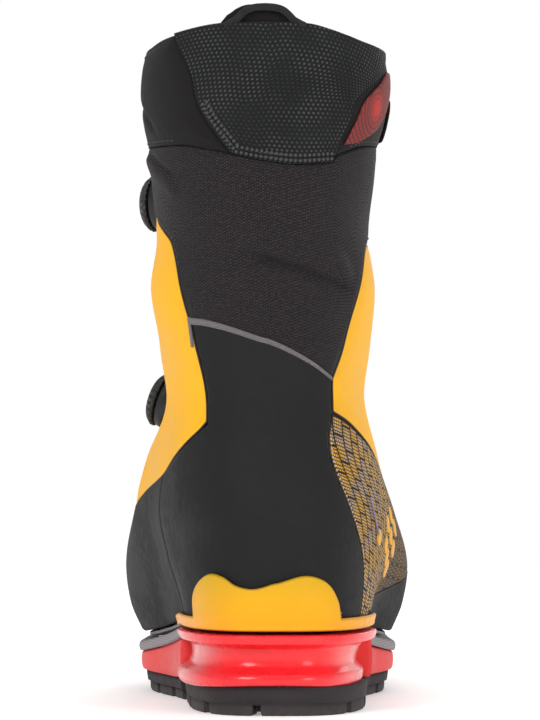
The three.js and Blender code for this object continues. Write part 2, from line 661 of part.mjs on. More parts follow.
/** A closure dial: a saddle base with a bore, a spool in it, and a core that carries the knob. */
function dial(name, s, h, rise) {
  const matrix = seat(s, h, rise);
  const back = matrix.clone().invert();
  const turns = Array.from({ length: 20 }, (_, i) => (i * Math.PI) / 10);
  const ring = (radius, at) => turns.map((a) => at(radius * Math.cos(a), radius * Math.sin(a)));
  const onSkin = (x, y) => onForm(...beside(s, h, x, y), DIAL.clearance).applyMatrix4(back);
  const inPlane = (z) => (x, y) => new THREE.Vector3(x, y, z);
  const { radius, bore, knobTall, stem } = DIAL;
  const body = loft([
    ring(4, onSkin),
    ring(8.5, onSkin),
    ring(radius + 1.4, onSkin),
    ring(radius + 0.8, inPlane(0)),
    ring(radius + 0.2, inPlane(DIAL.seat)),
  ]);
  const well = turned([[0, 0.8], [bore, 0.8], [bore, DIAL.seat + 1], [0, DIAL.seat + 1]]);
  place(`${name}_base`, cut(body, well), dialPlastic, matrix);
  place(`${name}_spool`, turned([
    [stem + 0.4, 1.2], [bore - 0.4, 1.2], [bore - 2.4, 2.2], [bore - 0.4, 3.2], [stem + 0.4, 3.2],
    [stem + 0.4, 1.2],
  ]), dialPlastic, matrix);
  const [low, high] = [DIAL.seat + 0.5, DIAL.seat + 0.5 + knobTall];
  place(`${name}_core`, turned([
    [0, 1.2], [stem, 1.2], [stem, high - 1.6], [5, high - 1.6], [5, high - 0.2], [0, high - 0.2],
  ]), steel, matrix);
  place(`${name}_knob`, turned([
    [stem + 0.4, low], [radius + 0.8, low], [radius + 1.2, low + 1.6], [radius - 0.6, high - 1.2],
    [radius - 3, high], [5.4, high], [5.4, high - 2], [stem + 0.4, high - 2], [stem + 0.4, low],
  ]), dialPlastic, matrix);
}

/** A lace guide: a round post with a flange, that the lace turns round. */
function laceGuide(name, s, h) {
  const profile = [[0, 0.5], [GUIDE.post, 0.5], [GUIDE.post, 3.1], [6.6, 3.1], [6.2, 4.1], [0, 4.1]];
  place(name, turned(profile, 10), dialPlastic, seat(s, h, 0));
}

/** A lace loop on the upper from a dial, round a guide and back, from hand-set [s, h] points. */
function lace(name, out, guide, back) {
  const turn = [-90, -45, 0, 45, 90].map((a) => {
    const [dx, dy] = [GUIDE.turn * Math.cos(a * RAD), GUIDE.turn * Math.sin(a * RAD)];
    return beside(...guide, -dx, -dy);
  });
  const points = [...out, ...turn, ...back].map(([s, h]) => onForm(s, h, LACE_LIFT));
  add(name, rod(new THREE.CatmullRomCurve3(points, false, "centripetal"), LACE_RADIUS, 6, 44), steel);
}

dial("lower_dial", -121, 140, 4.6);
dial("upper_dial", -122, 222, 2.2);
const LOWER_GUIDE = [-208, 115];
const UPPER_GUIDE = [-176, 224];
laceGuide("lower_lace_guide", ...LOWER_GUIDE);
laceGuide("upper_lace_guide", ...UPPER_GUIDE);
lace(
  "lower_lace",
  [[-138, 139], [-152, 135], [-172, 128], [-192, 122]],
  LOWER_GUIDE,
  [[-192, 110], [-172, 113], [-150, 121], [-136, 129]],
);
lace("upper_lace", [[-138, 226], [-152, 228]], UPPER_GUIDE, [[-152, 219], [-138, 218]]);

// The zip stands on a straight line up the medial front, just clear of the curved upper.
const ZIP = {
  low: 170, high: 240, tooth: 2, toothTall: 2, tapeWide: 9, sliderLong: 9,
  pivotY: -3.2, pivotRise: 5.2, bowWide: 1.4, pullThick: 1,
};

function zipLine() {
  const [foot, head] = [onForm(ZIP_S, ZIP.low), onForm(ZIP_S, ZIP.high)];
  const up = head.clone().sub(foot);
  const long = up.length();
  up.normalize();
  const out = formNormal(ZIP_S, (ZIP.low + ZIP.high) / 2);
  out.addScaledVector(up, -out.dot(up)).normalize();
  const across = up.clone().cross(out);
  const bulge = Array.from({ length: 15 }, (_, i) =>
    onForm(ZIP_S, mix(ZIP.low, ZIP.high, i / 14)).sub(foot).dot(out),
  );
  const matrix = new THREE.Matrix4().makeBasis(across, up, out);
  const origin = foot.clone().addScaledVector(out, Math.max(...bulge) + 1.7);
  return { foot, long, across, matrix: matrix.setPosition(origin) };
}

const zip = zipLine();

/** Degrees round the loop of level h where the upper lies dx millimetres beside the zip's line. */
function besideZip(h, dx) {
  const off = (s) => formPoint(s, h).sub(zip.foot).dot(zip.across) - dx;
  let s = ZIP_S;
  for (let i = 0; i < 6; i++) s -= off(s) / (off(s + 0.5) - off(s - 0.5));
  return s;
}

for (const [side, sign] of [["lateral", 1], ["medial", -1]]) {
  const strip = (lift) => (u, v) => {
    const h = mix(ZIP.low - 3, CUFF_FOOT + 1, v);
    return onForm(besideZip(h, -sign * mix(0.3, ZIP.tapeWide, sign > 0 ? u : 1 - u)), h, lift);
  };
  add(`zip_tape_${side}`, plate(strip(1.1), strip(0.5), 2, 8), yokeFabric);
  const teeth = new THREE.BoxGeometry(ZIP.tooth, zip.long, ZIP.toothTall);
  teeth.translate(-sign * (ZIP.tooth / 2 + 0.2), zip.long / 2, ZIP.toothTall / 2);
  place(`zip_teeth_${side}`, teeth, dialPlastic, zip.matrix);
}

/** The slider: a bridge over the teeth with a flange down each side, and a bow on top that holds the pull. */
function zipSlider() {
  const inner = ZIP.tooth + 0.2 + 0.4;
  const outer = inner + 1.3;
  const top = ZIP.toothTall + 1.6;
  const section = new THREE.Shape([
    [-outer, 0.2], [-inner, 0.2], [-inner, ZIP.toothTall + 0.35], [inner, ZIP.toothTall + 0.35], [inner, 0.2],
    [outer, 0.2], [outer, top], [-outer, top],
  ].map(([x, z]) => new THREE.Vector2(x, z)));
  const body = new THREE.ExtrudeGeometry(section, { depth: ZIP.sliderLong, bevelEnabled: false });
  body.rotateX(Math.PI / 2);
  const { pivotY, pivotRise, bowWide } = ZIP;
  const arch = new THREE.Shape([
    [-2.6, -1.8], [-1.3, -1.8], [-1.3, 1.2], [1.3, 1.2], [1.3, -1.8], [2.6, -1.8], [2.6, 1.4], [1.8, 2.1],
    [-1.8, 2.1], [-2.6, 1.4],
  ].map(([y, z]) => new THREE.Vector2(pivotY + y, pivotRise + z)));
  const bow = new THREE.ExtrudeGeometry(arch, { depth: bowWide, bevelEnabled: false });
  bow.translate(0, 0, -bowWide / 2).rotateY(Math.PI / 2).rotateX(Math.PI / 2);
  return join(closed(body), closed(bow));
}

/** The pull: a tab with a window behind its cross bar, which turns under the slider's bow. */
function zipPull() {
  const shape = new THREE.Shape();
  shape.moveTo(2.2, 0.7).lineTo(2.5, 0.2).lineTo(2.5, -15);
  shape.absarc(0, -15, 2.5, 0, -Math.PI, true).lineTo(-2.5, 0.2).lineTo(-2.2, 0.7);
  const window = [[-1.3, -0.7], [-1.3, -4.8], [1.3, -4.8], [1.3, -0.7]];
  shape.holes.push(new THREE.Path(window.map(([x, y]) => new THREE.Vector2(x, y))));
  const tab = new THREE.ExtrudeGeometry(shape, { depth: ZIP.pullThick, bevelEnabled: false, curveSegments: 8 });
  return closed(tab.translate(0, 0, -ZIP.pullThick / 2));
}

const sliderMatrix = zip.matrix.clone().multiply(new THREE.Matrix4().makeTranslation(0, zip.long - 0.5, 0));
place("zip_slider", zipSlider(), steel, sliderMatrix);
const pivot = new THREE.Matrix4().makeTranslation(0, ZIP.pivotY, ZIP.pivotRise);
place("zip_pull", zipPull(), dialPlastic, sliderMatrix.clone().multiply(pivot));

// The cuff tab closes the top of the zip: it is sewn to the lateral front and reaches to the medial side.
const TAB = { root: 199, tip: 93, low: 247, high: 266, under: 1, thick: 1.6 };
add("cuff_tab", panel({
  bottom: [[TAB.tip, TAB.low + 6], [TAB.tip + 8, TAB.low], [TAB.root, TAB.low]],
  top: [[TAB.tip, TAB.high - 6], [TAB.tip + 8, TAB.high], [TAB.root, TAB.high]],
  left: [[TAB.tip, TAB.low + 6], [TAB.tip, TAB.high - 6]],
  right: [[TAB.root, TAB.low], [TAB.root, TAB.high]],
  layer: { outer: TAB.under + TAB.thick, inner: TAB.under },
  across: 12,
  up: 2,
}), yokeFabric);
add("tab_anchor", panel({
  bottom: [[TAB.root + 2, TAB.low - 1], [TAB.root + 10, TAB.low - 1]],
  top: [[TAB.root + 2, TAB.high + 1], [TAB.root + 10, TAB.high + 1]],
  left: [[TAB.root + 2, TAB.low - 1], [TAB.root + 2, TAB.high + 1]],
  right: [[TAB.root + 10, TAB.low - 1], [TAB.root + 10, TAB.high + 1]],
  layer: { outer: 3, inner: 0.6 },
  across: 2,
  up: 2,
}), yokeFabric);

// The pull loop stands on the middle of the cuff's back rim.
const LOOP = { halfWide: 16, tall: 8.6, band: 3, leg: 5, thick: 2 };
const loopShape = new THREE.Shape();
loopShape.moveTo(-LOOP.halfWide, 0).absellipse(0, 0, LOOP.halfWide, LOOP.tall, Math.PI, 0, true);
loopShape.lineTo(LOOP.halfWide - LOOP.leg, 0);
loopShape.absellipse(0, 0, LOOP.halfWide - LOOP.leg, LOOP.tall - LOOP.band, 0, Math.PI, false);
const loopPlace = onForm(0, 295, -1.1);
const loopMatrix = new THREE.Matrix4()
  .makeRotationX(Math.PI / 2)
  .setPosition(loopPlace.x, loopPlace.y, loopPlace.z + 0.5);
place("pull_loop", closed(
  new THREE.ExtrudeGeometry(loopShape, { depth: LOOP.thick, bevelEnabled: false, curveSegments: 10 })
    .translate(0, 0, -LOOP.thick / 2),
), yokeFabric, loopMatrix);

export default boot;
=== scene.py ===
"""A left mountaineering boot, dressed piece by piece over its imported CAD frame."""
import math
from functools import wraps

import bmesh
import bpy
import numpy as np
from mathutils import Matrix, Vector


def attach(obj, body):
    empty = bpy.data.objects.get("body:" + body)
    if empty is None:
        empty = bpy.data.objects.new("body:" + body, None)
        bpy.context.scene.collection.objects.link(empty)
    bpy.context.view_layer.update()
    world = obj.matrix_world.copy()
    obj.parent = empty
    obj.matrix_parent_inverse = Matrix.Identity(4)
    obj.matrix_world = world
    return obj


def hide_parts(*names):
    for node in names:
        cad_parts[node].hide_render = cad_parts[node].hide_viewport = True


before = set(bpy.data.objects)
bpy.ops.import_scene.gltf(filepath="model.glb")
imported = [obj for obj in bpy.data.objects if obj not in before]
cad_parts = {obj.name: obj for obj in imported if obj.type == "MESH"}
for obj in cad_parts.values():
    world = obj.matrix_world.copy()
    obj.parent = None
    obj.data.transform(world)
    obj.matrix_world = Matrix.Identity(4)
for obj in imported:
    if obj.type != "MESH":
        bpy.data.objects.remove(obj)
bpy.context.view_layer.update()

bl_info = {
    "name": "Mountaineering Boot",
    "version": (1, 0, 0),
    "blender": (4, 5, 0),
    "location": "View3D > Sidebar > Boot",
    "description": "Builds the visible pieces and finishes of a high-altitude double boot",
    "category": "Object",
}

# ---------- the form of the upper; tables in millimetres ---------------------------------------------
MM = 0.001
FORM_KEYS = ("h", "rear_y", "front_y", "front_z", "lat_rear", "med_rear", "lat_fore", "med_fore", "dip")
FORM_ROWS = (
    (38, -41, 271, 31, 43.5, 42.5, 62, 52, 9),
    (50, -43.5, 277, 46, 47, 45.5, 68.5, 58, 8),
    (66, -46, 272, 64, 53, 49, 70.5, 60, 5.5),
    (86, -46.5, 243, 84, 57, 50, 66, 53, 3),
    (110, -43, 188, 103, 53, 43.5, 59, 43, 0),
    (136, -37, 141, 124, 48, 37, 49, 37.5, 0),
    (160, -36, 112, 150, 51.5, 39, 51.5, 39, 0),
    (183, -38, 100, 176, 55, 41.5, 55, 41.5, 0),
    (205, -40, 94.5, 201, 52.5, 38.5, 52.5, 38.5, 0),
    (235, -43, 86.8, 235, 55.5, 41, 55.5, 41, 0),
    (266, -45, 80, 266, 58.8, 46.8, 58.8, 46.8, 0),
    (284, -45, 76, 284, 57.5, 45.5, 57.5, 45.5, 0),
    (300, -42, 74, 300, 52, 40, 52, 40, 0),
)
ROUNDNESS, HEEL_SQUARENESS, TOE_SWING, WAIST = 0.85, 0.24, 7.0, 7.0
FEATHER = 38.0  # level of the upper's lowest edge, where the sole starts

# ---------- seams of the upper: (degrees round the loop, level) ----------
FRONT_EDGE, ZIP_S, CUFF_SEAM, RAND_SPLIT = 118, 140, -220, -62
SOLE_LINE, SPLIT_TOP, CUFF_FOOT, CUFF_RIM = 39, 102.5, 243, 285
TRIM = [(-39, 168.5), (-28, 167.5), (-14, 164.6), (0, 160), (12, 155), (25, 149.5), (38, 143.5)]
RUBBER_LEFT = [(-31, 125), (-33, 138), (-36, 153), (-39, 168.5)]
RUBBER_RIGHT = [(37, 129), (38, 136), (38, 143.5)]
RUBBER_FOOT_RIGHT = [(44.5, 40), (44.5, 58), (43, 70), (37, 84), (32, 100), (30, 110), (31, 119), (37, 129)]
RAND_TOP = [(-118, 82.5), (-100, 88), (-84, 94), (-64, 101), (-54, 109), (-44, 116), (-36, 121), (-31, 125)]
FLANK_TOP_LEFT = [(-118, 209), (-92, 216), (-80, 212), (-66, 207), (-56, 202), (-46, 189), (-39, 168.5)]
FLANK_TOP_RIGHT = [(38, 143.5), (44, 154), (51, 173), (60, 188), (72, 199), (86, 203), (118, 203)]
SCALE_TOP = [(37, 129), (50, 124), (64, 116), (84, 104), (104, 94), (118, 88)]
VAMP_TOP = [(118, 88), (140, 107), (160, 115), (180, 118), (210, 116), (228, 108), (242, 100)]
RAND_MEDIAL_TOP = [(62, 42), (80, 51), (95, 60), (118, 70)]
CAP_TOP = [(150, 76), (165, 79), (180, 80), (195, 79), (210, 76)]
YOKE_FOOT = [(-12, 239), (10, 235), (34, 236)]
YOKE_LEFT = [(-12, 239), (-24, 253), (-29, 261), (-33, 274.5), (-48, 291)]
YOKE_RIGHT = [(34, 236), (41, 253), (45, 264), (69, 275), (84, 284.5)]
YOKE_TOP = [(-48, 291), (-21, 294.5), (0, 295), (19, 294.5), (32, 292), (41, 290), (54, 287.5), (84, 284.5)]
HEEL_SHELF = [(-31, 124), (0, 123), (31, 119)]
BADGE_EYE = (62.0, 260.0)


# ---------- small maths ----------
def clamp01(x):
    """x kept between 0 and 1."""
    return np.clip(x, 0.0, 1.0)


def smooth(x):
    """0 below 0 and 1 above 1, with an S-shaped rise between."""
    x = clamp01(x)
    return x * x * (3 - 2 * x)


def mix(a, b, t):
    """The value a share t of the way from a to b."""
    return a + (b - a) * t


def through(rows):
    """A smooth curve through (place, value) rows: cubics whose slopes come from the neighbouring rows."""
    x, y = np.array([[row[0], row[1]] for row in rows], float).T
    low, high = np.maximum(np.arange(len(x)) - 1, 0), np.minimum(np.arange(len(x)) + 1, len(x) - 1)
    slope = (y[high] - y[low]) / (x[high] - x[low])

    def at(place):
        i = np.clip(np.searchsorted(x, place, side="right") - 1, 0, len(x) - 2)
        span = x[i + 1] - x[i]
        t = clamp01((place - x[i]) / span)
        bend = (3 - 2 * t) * t * t
        rise = span * (t**3 - 2 * t * t + t) * slope[i] + span * (t**3 - t * t) * slope[i + 1]
        return mix(y[i], y[i + 1], bend) + rise

    return at


def unit(rows):
    """Vectors made one long."""
    return rows / np.linalg.norm(rows, axis=-1, keepdims=True)


def run_length(path):
    """Distance along a path from its first point to each of its points."""
    return np.concatenate([[0], np.cumsum(np.linalg.norm(np.diff(path, axis=0), axis=1))])


def frame_of(up, out, origin):
    """A matrix at an origin whose Y axis is up, whose Z axis is out and whose X axis is square to both."""
    made = np.eye(4)
    made[:3, :3] = np.stack([np.cross(up, out), up, out], 1)
    made[:3, 3] = origin
    return made


def placed(points, place):
    """Points in millimetres on a place's own axes, turned into metres on the boot's."""
    return (np.asarray(points, float) * MM) @ place[:3, :3].T + place[:3, 3]


# ---------- the form ----------
FORM = {key: through([(row[0], row[k + 1]) for row in FORM_ROWS]) for k, key in enumerate(FORM_KEYS[1:])}


def height_on(h, f):
    """Height of the loop of level h at the share f from heel to toe: it eases to the front height and dips."""
    dip = FORM["dip"](h) * np.sin(np.pi * clamp01((f - 0.18) / 0.82)) ** 2
    return mix(h, FORM["front_z"](h), smooth((f - 0.25) / 0.75)) - dip


def form_point(s, h):
    """The upper's surface, metres: a squared ellipse at each level h, with its own half widths on each side,
    that swings at the toe and pulls in at the arch. s is degrees round from the heel, positive medially."""
    s, h = np.broadcast_arrays(np.asarray(s, float), np.asarray(h, float))
    c, n = np.cos(np.radians(s)), np.sin(np.radians(s))
    low = 1 - smooth((h - FEATHER) / 40)
    roundness = ROUNDNESS - HEEL_SQUARENESS * low * smooth(1.6 * c)
    f = (1 - np.sign(c) * np.abs(c) ** roundness) / 2
    q = np.sign(n) * np.abs(n) ** roundness
    fore = smooth((f - 0.24) / 0.4)
    rear = FORM["lat_rear"](h), FORM["med_rear"](h)
    front = FORM["lat_fore"](h), FORM["med_fore"](h)
    half = mix(rear[0] + rear[1], front[0] + front[1], fore) / 2
    middle = mix(rear[1] - rear[0], front[1] - front[0], fore) / 2
    swing = TOE_SWING * (1 - smooth((h - 60) / 80)) * smooth((f - 0.68) / 0.32)
    arch = WAIST * low * np.exp(-(((f - 0.4) / 0.11) ** 2)) * np.where(q > 0, 1, 0.35)
    x = middle + swing + (half - arch) * q
    y = mix(FORM["rear_y"](h), FORM["front_y"](h), f)
    return np.stack([x, y, height_on(h, f)], -1) * MM


def form_normal(s, h):
    """Unit normal of the form, from the difference of near points round it and up it."""
    s, h = np.broadcast_arrays(np.asarray(s, float), np.asarray(h, float))
    along = form_point(s + 0.8, h) - form_point(s - 0.8, h)
    up = form_point(s, h + 0.8) - form_point(s, h - 0.8)
    return unit(np.cross(along, up))


def on_form(s, h, lift=0.0):
    """The form raised by a lift in millimetres."""
    return form_point(s, h) + form_normal(s, h) * (np.asarray(lift, float) * MM)[..., None]


def seat(s, h, lift):
    """A matrix at a place of the form: Z stands out of it and Y runs up it."""
    out = form_normal(s, h)
    up = form_point(s, h + 1) - form_point(s, h - 1)
    return frame_of(unit(up - out * (up @ out)), out, on_form(s, h, lift))


def beside(s, h, dx, dy):
    """The place dx millimetres round the form and dy up it from (s, h)."""
    wide = np.linalg.norm(form_point(s + 1, h) - form_point(s - 1, h)) / 2 / MM
    tall = np.linalg.norm(form_point(s, h + 1) - form_point(s, h - 1)) / 2 / MM
    return s + dx / wide, h + dy / tall


# ---------- seams and patches ----------
def seam(points):
    """A smooth line through (s, h) points for t from 0 to 1; a list of such lists is one after another."""
    if isinstance(points[0][0], (list, tuple)):
        runs = [seam(run) for run in points]

        def chain(t):
            run = np.minimum(len(runs) - 1, np.floor(t * len(runs) + 1e-9).astype(int))
            each = [line(clamp01(t * len(runs) - run)) for line in runs]
            return [np.choose(run, [place[k] for place in each]) for k in (0, 1)]

        return chain
    points = np.array(points, float)
    far = run_length(points)
    lines = [through(np.stack([far / far[-1], points[:, k]], 1)) for k in (0, 1)]
    return lambda t: [line(t) for line in lines]


def through_both(points, count):
    """Places (s, h) at even steps along a seam."""
    return seam(points)(np.linspace(0, 1, count))


def level_run(h, *stops):
    """A seam along one level, through places round the form."""
    return [(s, h) for s in stops]


def upright(s, low, high):
    """A seam straight up the form from one level to another."""
    return [(s, low), (s, (low + high) / 2), (s, high)]


def patch(bottom, top, left, right, across, up):
    """A grid of places between four seams: each is blended from both pairs of facing seams (a Coons patch)."""
    u, v = np.meshgrid(np.linspace(0, 1, across + 1), np.linspace(0, 1, up + 1))
    b, t, l, r = (seam(side) for side in (bottom, top, left, right))
    corner = {(i, j): (t if j else b)(np.array(float(i))) for i in (0, 1) for j in (0, 1)}
    ends = [l(v), r(v), b(u), t(u)]
    return [
        mix(ends[0][k], ends[1][k], u) + mix(ends[2][k], ends[3][k], v)
        - mix(mix(corner[0, 0][k], corner[1, 0][k], u), mix(corner[0, 1][k], corner[1, 1][k], u), v)
        for k in (0, 1)
    ]


def quads(rows, columns, wrap=False):
    """Faces of a grid of rows by columns points; wrap joins the last column to the first."""
    i, j = np.meshgrid(np.arange(columns if wrap else columns - 1), np.arange(rows - 1))
    after = (i + 1) % columns
    return np.stack([j * columns + i, j * columns + after, (j + 1) * columns + after, (j + 1) * columns + i], -1
                    ).reshape(-1, 4)


def run_lengths(points):
    """Distances along the rows from the middle column and along the columns from the first row, metres."""
    along = np.linalg.norm(np.diff(points, axis=1), axis=2)
    u = np.concatenate([np.zeros((len(points), 1)), np.cumsum(along, 1)], 1)
    u -= u[:, u.shape[1] // 2, None]
    rise = np.linalg.norm(np.diff(points, axis=0), axis=2)
    v = np.concatenate([np.zeros((1, points.shape[1])), np.cumsum(rise, 0)], 0)
    return np.stack([u, v], -1)


# ---------- meshes ----------
ROD_UP = (0.31, 0.17, 0.93)  # a direction that no rod of the boot runs along
PROFILE_STEPS = 4  # rings for each step of a turned profile


def linked(name, data):
    """A new object with this data, in the scene."""
    made = bpy.data.objects.new(name, data)
    bpy.context.scene.collection.objects.link(made)
    return made


def mend(mesh, weld=0.0, outward=False):
    """Merges points that lie closer than weld, in metres, and turns the faces outwards."""
    work = bmesh.new()
    work.from_mesh(mesh)
    if weld:
        bmesh.ops.remove_doubles(work, verts=work.verts, dist=weld)
    if outward:
        bmesh.ops.recalc_face_normals(work, faces=work.faces)
    work.to_mesh(mesh)
    work.free()


def mesh_object(name, points, faces, uv=None, rim=None, weld=0.0, outward=False):
    """An object from points and faces, smooth shaded. uv holds a pair for each point and rim a distance."""
    mesh = bpy.data.meshes.new(name)
    mesh.from_pydata(np.asarray(points, float).tolist(), [], [list(map(int, face)) for face in faces])
    if uv is not None:
        corners = np.empty(len(mesh.loops), np.int32)
        mesh.loops.foreach_get("vertex_index", corners)
        layer = mesh.uv_layers.new(name="cloth")
        layer.uv.foreach_set("vector", np.asarray(uv, np.float32)[corners].ravel())
    if rim is not None:
        mesh.attributes.new("rim", "FLOAT", "POINT").data.foreach_set("value", np.asarray(rim, np.float32))
    if weld or outward:
        mend(mesh, weld, outward)
    mesh.shade_smooth()
    return linked(name, mesh)


def edge_distance(points, faces):
    """Distance of each point from the nearest open edge, metres."""
    edges = np.sort(np.concatenate([faces[:, [k, (k + 1) % 4]] for k in range(4)]), 1)
    edges, count = np.unique(edges, axis=0, return_counts=True)
    open_points = points[np.unique(edges[count == 1])]
    if not len(open_points):
        return np.full(len(points), 1.0)
    best = np.full(len(points), 1.0)
    for part in np.array_split(np.arange(len(points)), max(1, len(points) // 2000)):
        gaps = points[part, None, :] - open_points[None]
        best[part] = np.sqrt((gaps**2).sum(-1).min(1))
    return best


def skin(name, patches, lift=0.0, thick=1.4, roll=0.7, relief=None):
    """A sheet over the form, lifted in millimetres, that rolls down at its edges in a quarter round.
    relief adds millimetres as a function of s, h and the distance from the edge in millimetres."""
    points, faces, uv, places, start = [], [], [], [], 0
    for s, h in patches:
        grid = form_point(s, h)
        points.append(grid.reshape(-1, 3))
        uv.append(run_lengths(grid).reshape(-1, 2))
        places.append(np.stack([s.ravel(), h.ravel()], 1))
        faces.append(quads(*s.shape) + start)
        start += s.size
    points, faces, uv, places = (np.concatenate(part) for part in (points, faces, uv, places))
    _, first, same = np.unique(np.round(points * 1e5), axis=0, return_index=True, return_inverse=True)
    rim = edge_distance(points[first], same.ravel()[faces])[same.ravel()]
    s, h = places.T
    mm = rim / MM
    total = lift - roll * (1 - np.sqrt(1 - (1 - clamp01(mm / roll)) ** 2))
    if relief:
        total = total + relief(s, h, mm)
    made = mesh_object(name, on_form(s, h, total), faces, uv, rim, weld=1e-6 if len(patches) > 1 else 0)
    wall = made.modifiers.new("wall", "SOLIDIFY")
    wall.thickness = thick * MM
    wall.offset = -1
    return made


def carried(section, path, normals):
    """A section of (out, aside) millimetres carried along a path: out follows the normals and aside is square
    to both path and normal."""
    side = unit(np.cross(np.gradient(path, axis=0), normals))
    section = np.asarray(section, float) * MM
    return path[:, None] + normals[:, None] * section[None, :, :1] + side[:, None] * section[None, :, 1:]


def tube(name, path, radius, sides):
    """A round rod along a path, closed at its ends: a circle in millimetres, carried square to the path and
    turned by it as little as possible."""
    tangent = unit(np.gradient(path, axis=0))
    side = unit(np.cross(tangent, ROD_UP))
    lift = np.cross(side, tangent)
    angle = np.linspace(0, 2 * np.pi, sides, endpoint=False)
    ring = side[:, None] * np.cos(angle)[None, :, None] + lift[:, None] * np.sin(angle)[None, :, None]
    points = (path[:, None] + ring * radius * MM).reshape(-1, 3)
    ends = [np.arange(sides), np.arange(len(path) * sides - sides, len(path) * sides)]
    uv = np.stack(np.meshgrid(angle * radius * MM, run_length(path)), -1).reshape(-1, 2)
    return mesh_object(name, points, [*quads(len(path), sides, wrap=True), *ends], uv, outward=True)


def turned(name, profile, place, sides=64, waves=0, depth=0.0, wave_from=0.0):
    """A turned piece: (radius, height) millimetres revolved about a place's Z axis. Waves cut that many flutes
    of a depth into radii over wave_from."""
    profile = np.asarray(profile, float)
    t = np.linspace(0, len(profile) - 1, (len(profile) - 1) * PROFILE_STEPS + 1)
    r, z = (np.interp(t, np.arange(len(profile)), profile[:, k]) for k in (0, 1))
    angle = np.linspace(0, 2 * np.pi, sides, endpoint=False)
    flute = depth * (0.5 - 0.5 * np.cos(waves * angle)) if waves else np.zeros(sides)
    radius = r[:, None] - flute[None] * smooth((r[:, None] - wave_from) / 0.8)
    height = np.broadcast_to(z[:, None], radius.shape)
    local = np.stack([radius * np.cos(angle), radius * np.sin(angle), height], -1)
    made = mesh_object(name, placed(local.reshape(-1, 3), place), quads(len(r), sides, wrap=True), weld=1e-7,
                       outward=True)
    bevel = made.modifiers.new("edges", "BEVEL")
    bevel.width, bevel.segments, bevel.limit_method, bevel.angle_limit = 0.25 * MM, 2, "ANGLE", math.radians(40)
    return made


def loft(name, loops):
    """A closed solid skinned over loops (levels by points), with a flat face over each end."""
    levels, count = loops.shape[:2]
    faces = [*quads(levels, count, wrap=True), np.arange(count)[::-1], np.arange(count) + (levels - 1) * count]
    return mesh_object(name, loops.reshape(-1, 3), faces, outward=True)


def scatter(name, template, faces, origins, frames):
    """Copies of a small shape (millimetres) at origins, each turned by its frame of three unit columns."""
    points = np.einsum("nij,kj->nki", frames, np.asarray(template, float) * MM) + origins[:, None]
    step = len(template)
    every = [np.asarray(face)[None] + step * np.arange(len(origins))[:, None] for face in faces]
    return mesh_object(name, points.reshape(-1, 3), [row for block in every for row in block], outward=True)


def bead(long, wide, tall, sides=8, rings=4):
    """Points and faces of a domed bead: an ellipsoid's upper part, from its foot ring to its pole."""
    turn = np.linspace(0, 2 * np.pi, sides, endpoint=False)
    rise = np.linspace(-0.35, np.pi / 2 - 0.25, rings)
    ring = np.stack([
        long * np.cos(turn)[None] * np.cos(rise)[:, None],
        wide * np.sin(turn)[None] * np.cos(rise)[:, None],
        np.broadcast_to(tall * np.sin(rise)[:, None], (rings, sides)),
    ], -1)
    faces = [*quads(rings, sides, wrap=True), np.arange(sides)[::-1], np.arange(sides) + (rings - 1) * sides]
    return ring.reshape(-1, 3), faces


def along_seam(line, spacing, inset=0.0, span=(0.0, 1.0)):
    """Evenly spaced places (s, h) along a seam, moved aside by inset millimetres to its left."""
    t = np.linspace(*span, 400)
    s, h = seam(line)(t)
    path = form_point(s, h)
    far = run_length(path) / MM
    steps = np.interp(np.arange(spacing / 2, far[-1], spacing), far, t)
    s, h = seam(line)(steps)
    ahead = np.array(seam(line)(np.minimum(steps + 0.004, 1)))
    behind = np.array(seam(line)(np.maximum(steps - 0.004, 0)))
    tangent = unit(form_point(*ahead) - form_point(*behind))
    normal = form_normal(s, h)
    side = np.cross(normal, tangent)
    return form_point(s, h) + side * inset * MM, tangent, side, normal


def seam_beads(name, line, spacing, inset, lift, shape, span=(0.0, 1.0)):
    """Small beads or stitches in a row along a seam."""
    origin, tangent, side, normal = along_seam(line, spacing, inset, span)
    template, faces = shape
    return scatter(name, template, faces, origin + normal * lift * MM, np.stack([tangent, side, normal], 2))


def finish_piece(piece, material, body="boot", nodes=(), slot=None):
    """Gives a piece its material, its body and the CAD nodes that it stands for; its slot is not used."""
    piece.data.materials.append(material)
    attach(piece, body)
    if nodes:
        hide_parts(*([nodes] if isinstance(nodes, str) else nodes))
    return piece


def sheet(name, patches, material, slot, nodes=(), **shape):
    """A skin with its material, on the boot's own body."""
    return finish_piece(skin(name, patches, **shape), material, nodes=nodes, slot=slot)


def dress(node, material):
    """Puts a material on a CAD node that stays."""
    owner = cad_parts[node]
    owner.data.materials.clear()
    owner.data.materials.append(material)


# ---------- node helpers ----------
def tone(code):
    """A scene-linear colour from a six-figure sRGB code."""
    parts = [int(code[i:i + 2], 16) / 255 for i in (0, 2, 4)]
    return tuple(p / 12.92 if p <= 0.04045 else ((p + 0.055) / 1.055) ** 2.4 for p in parts)


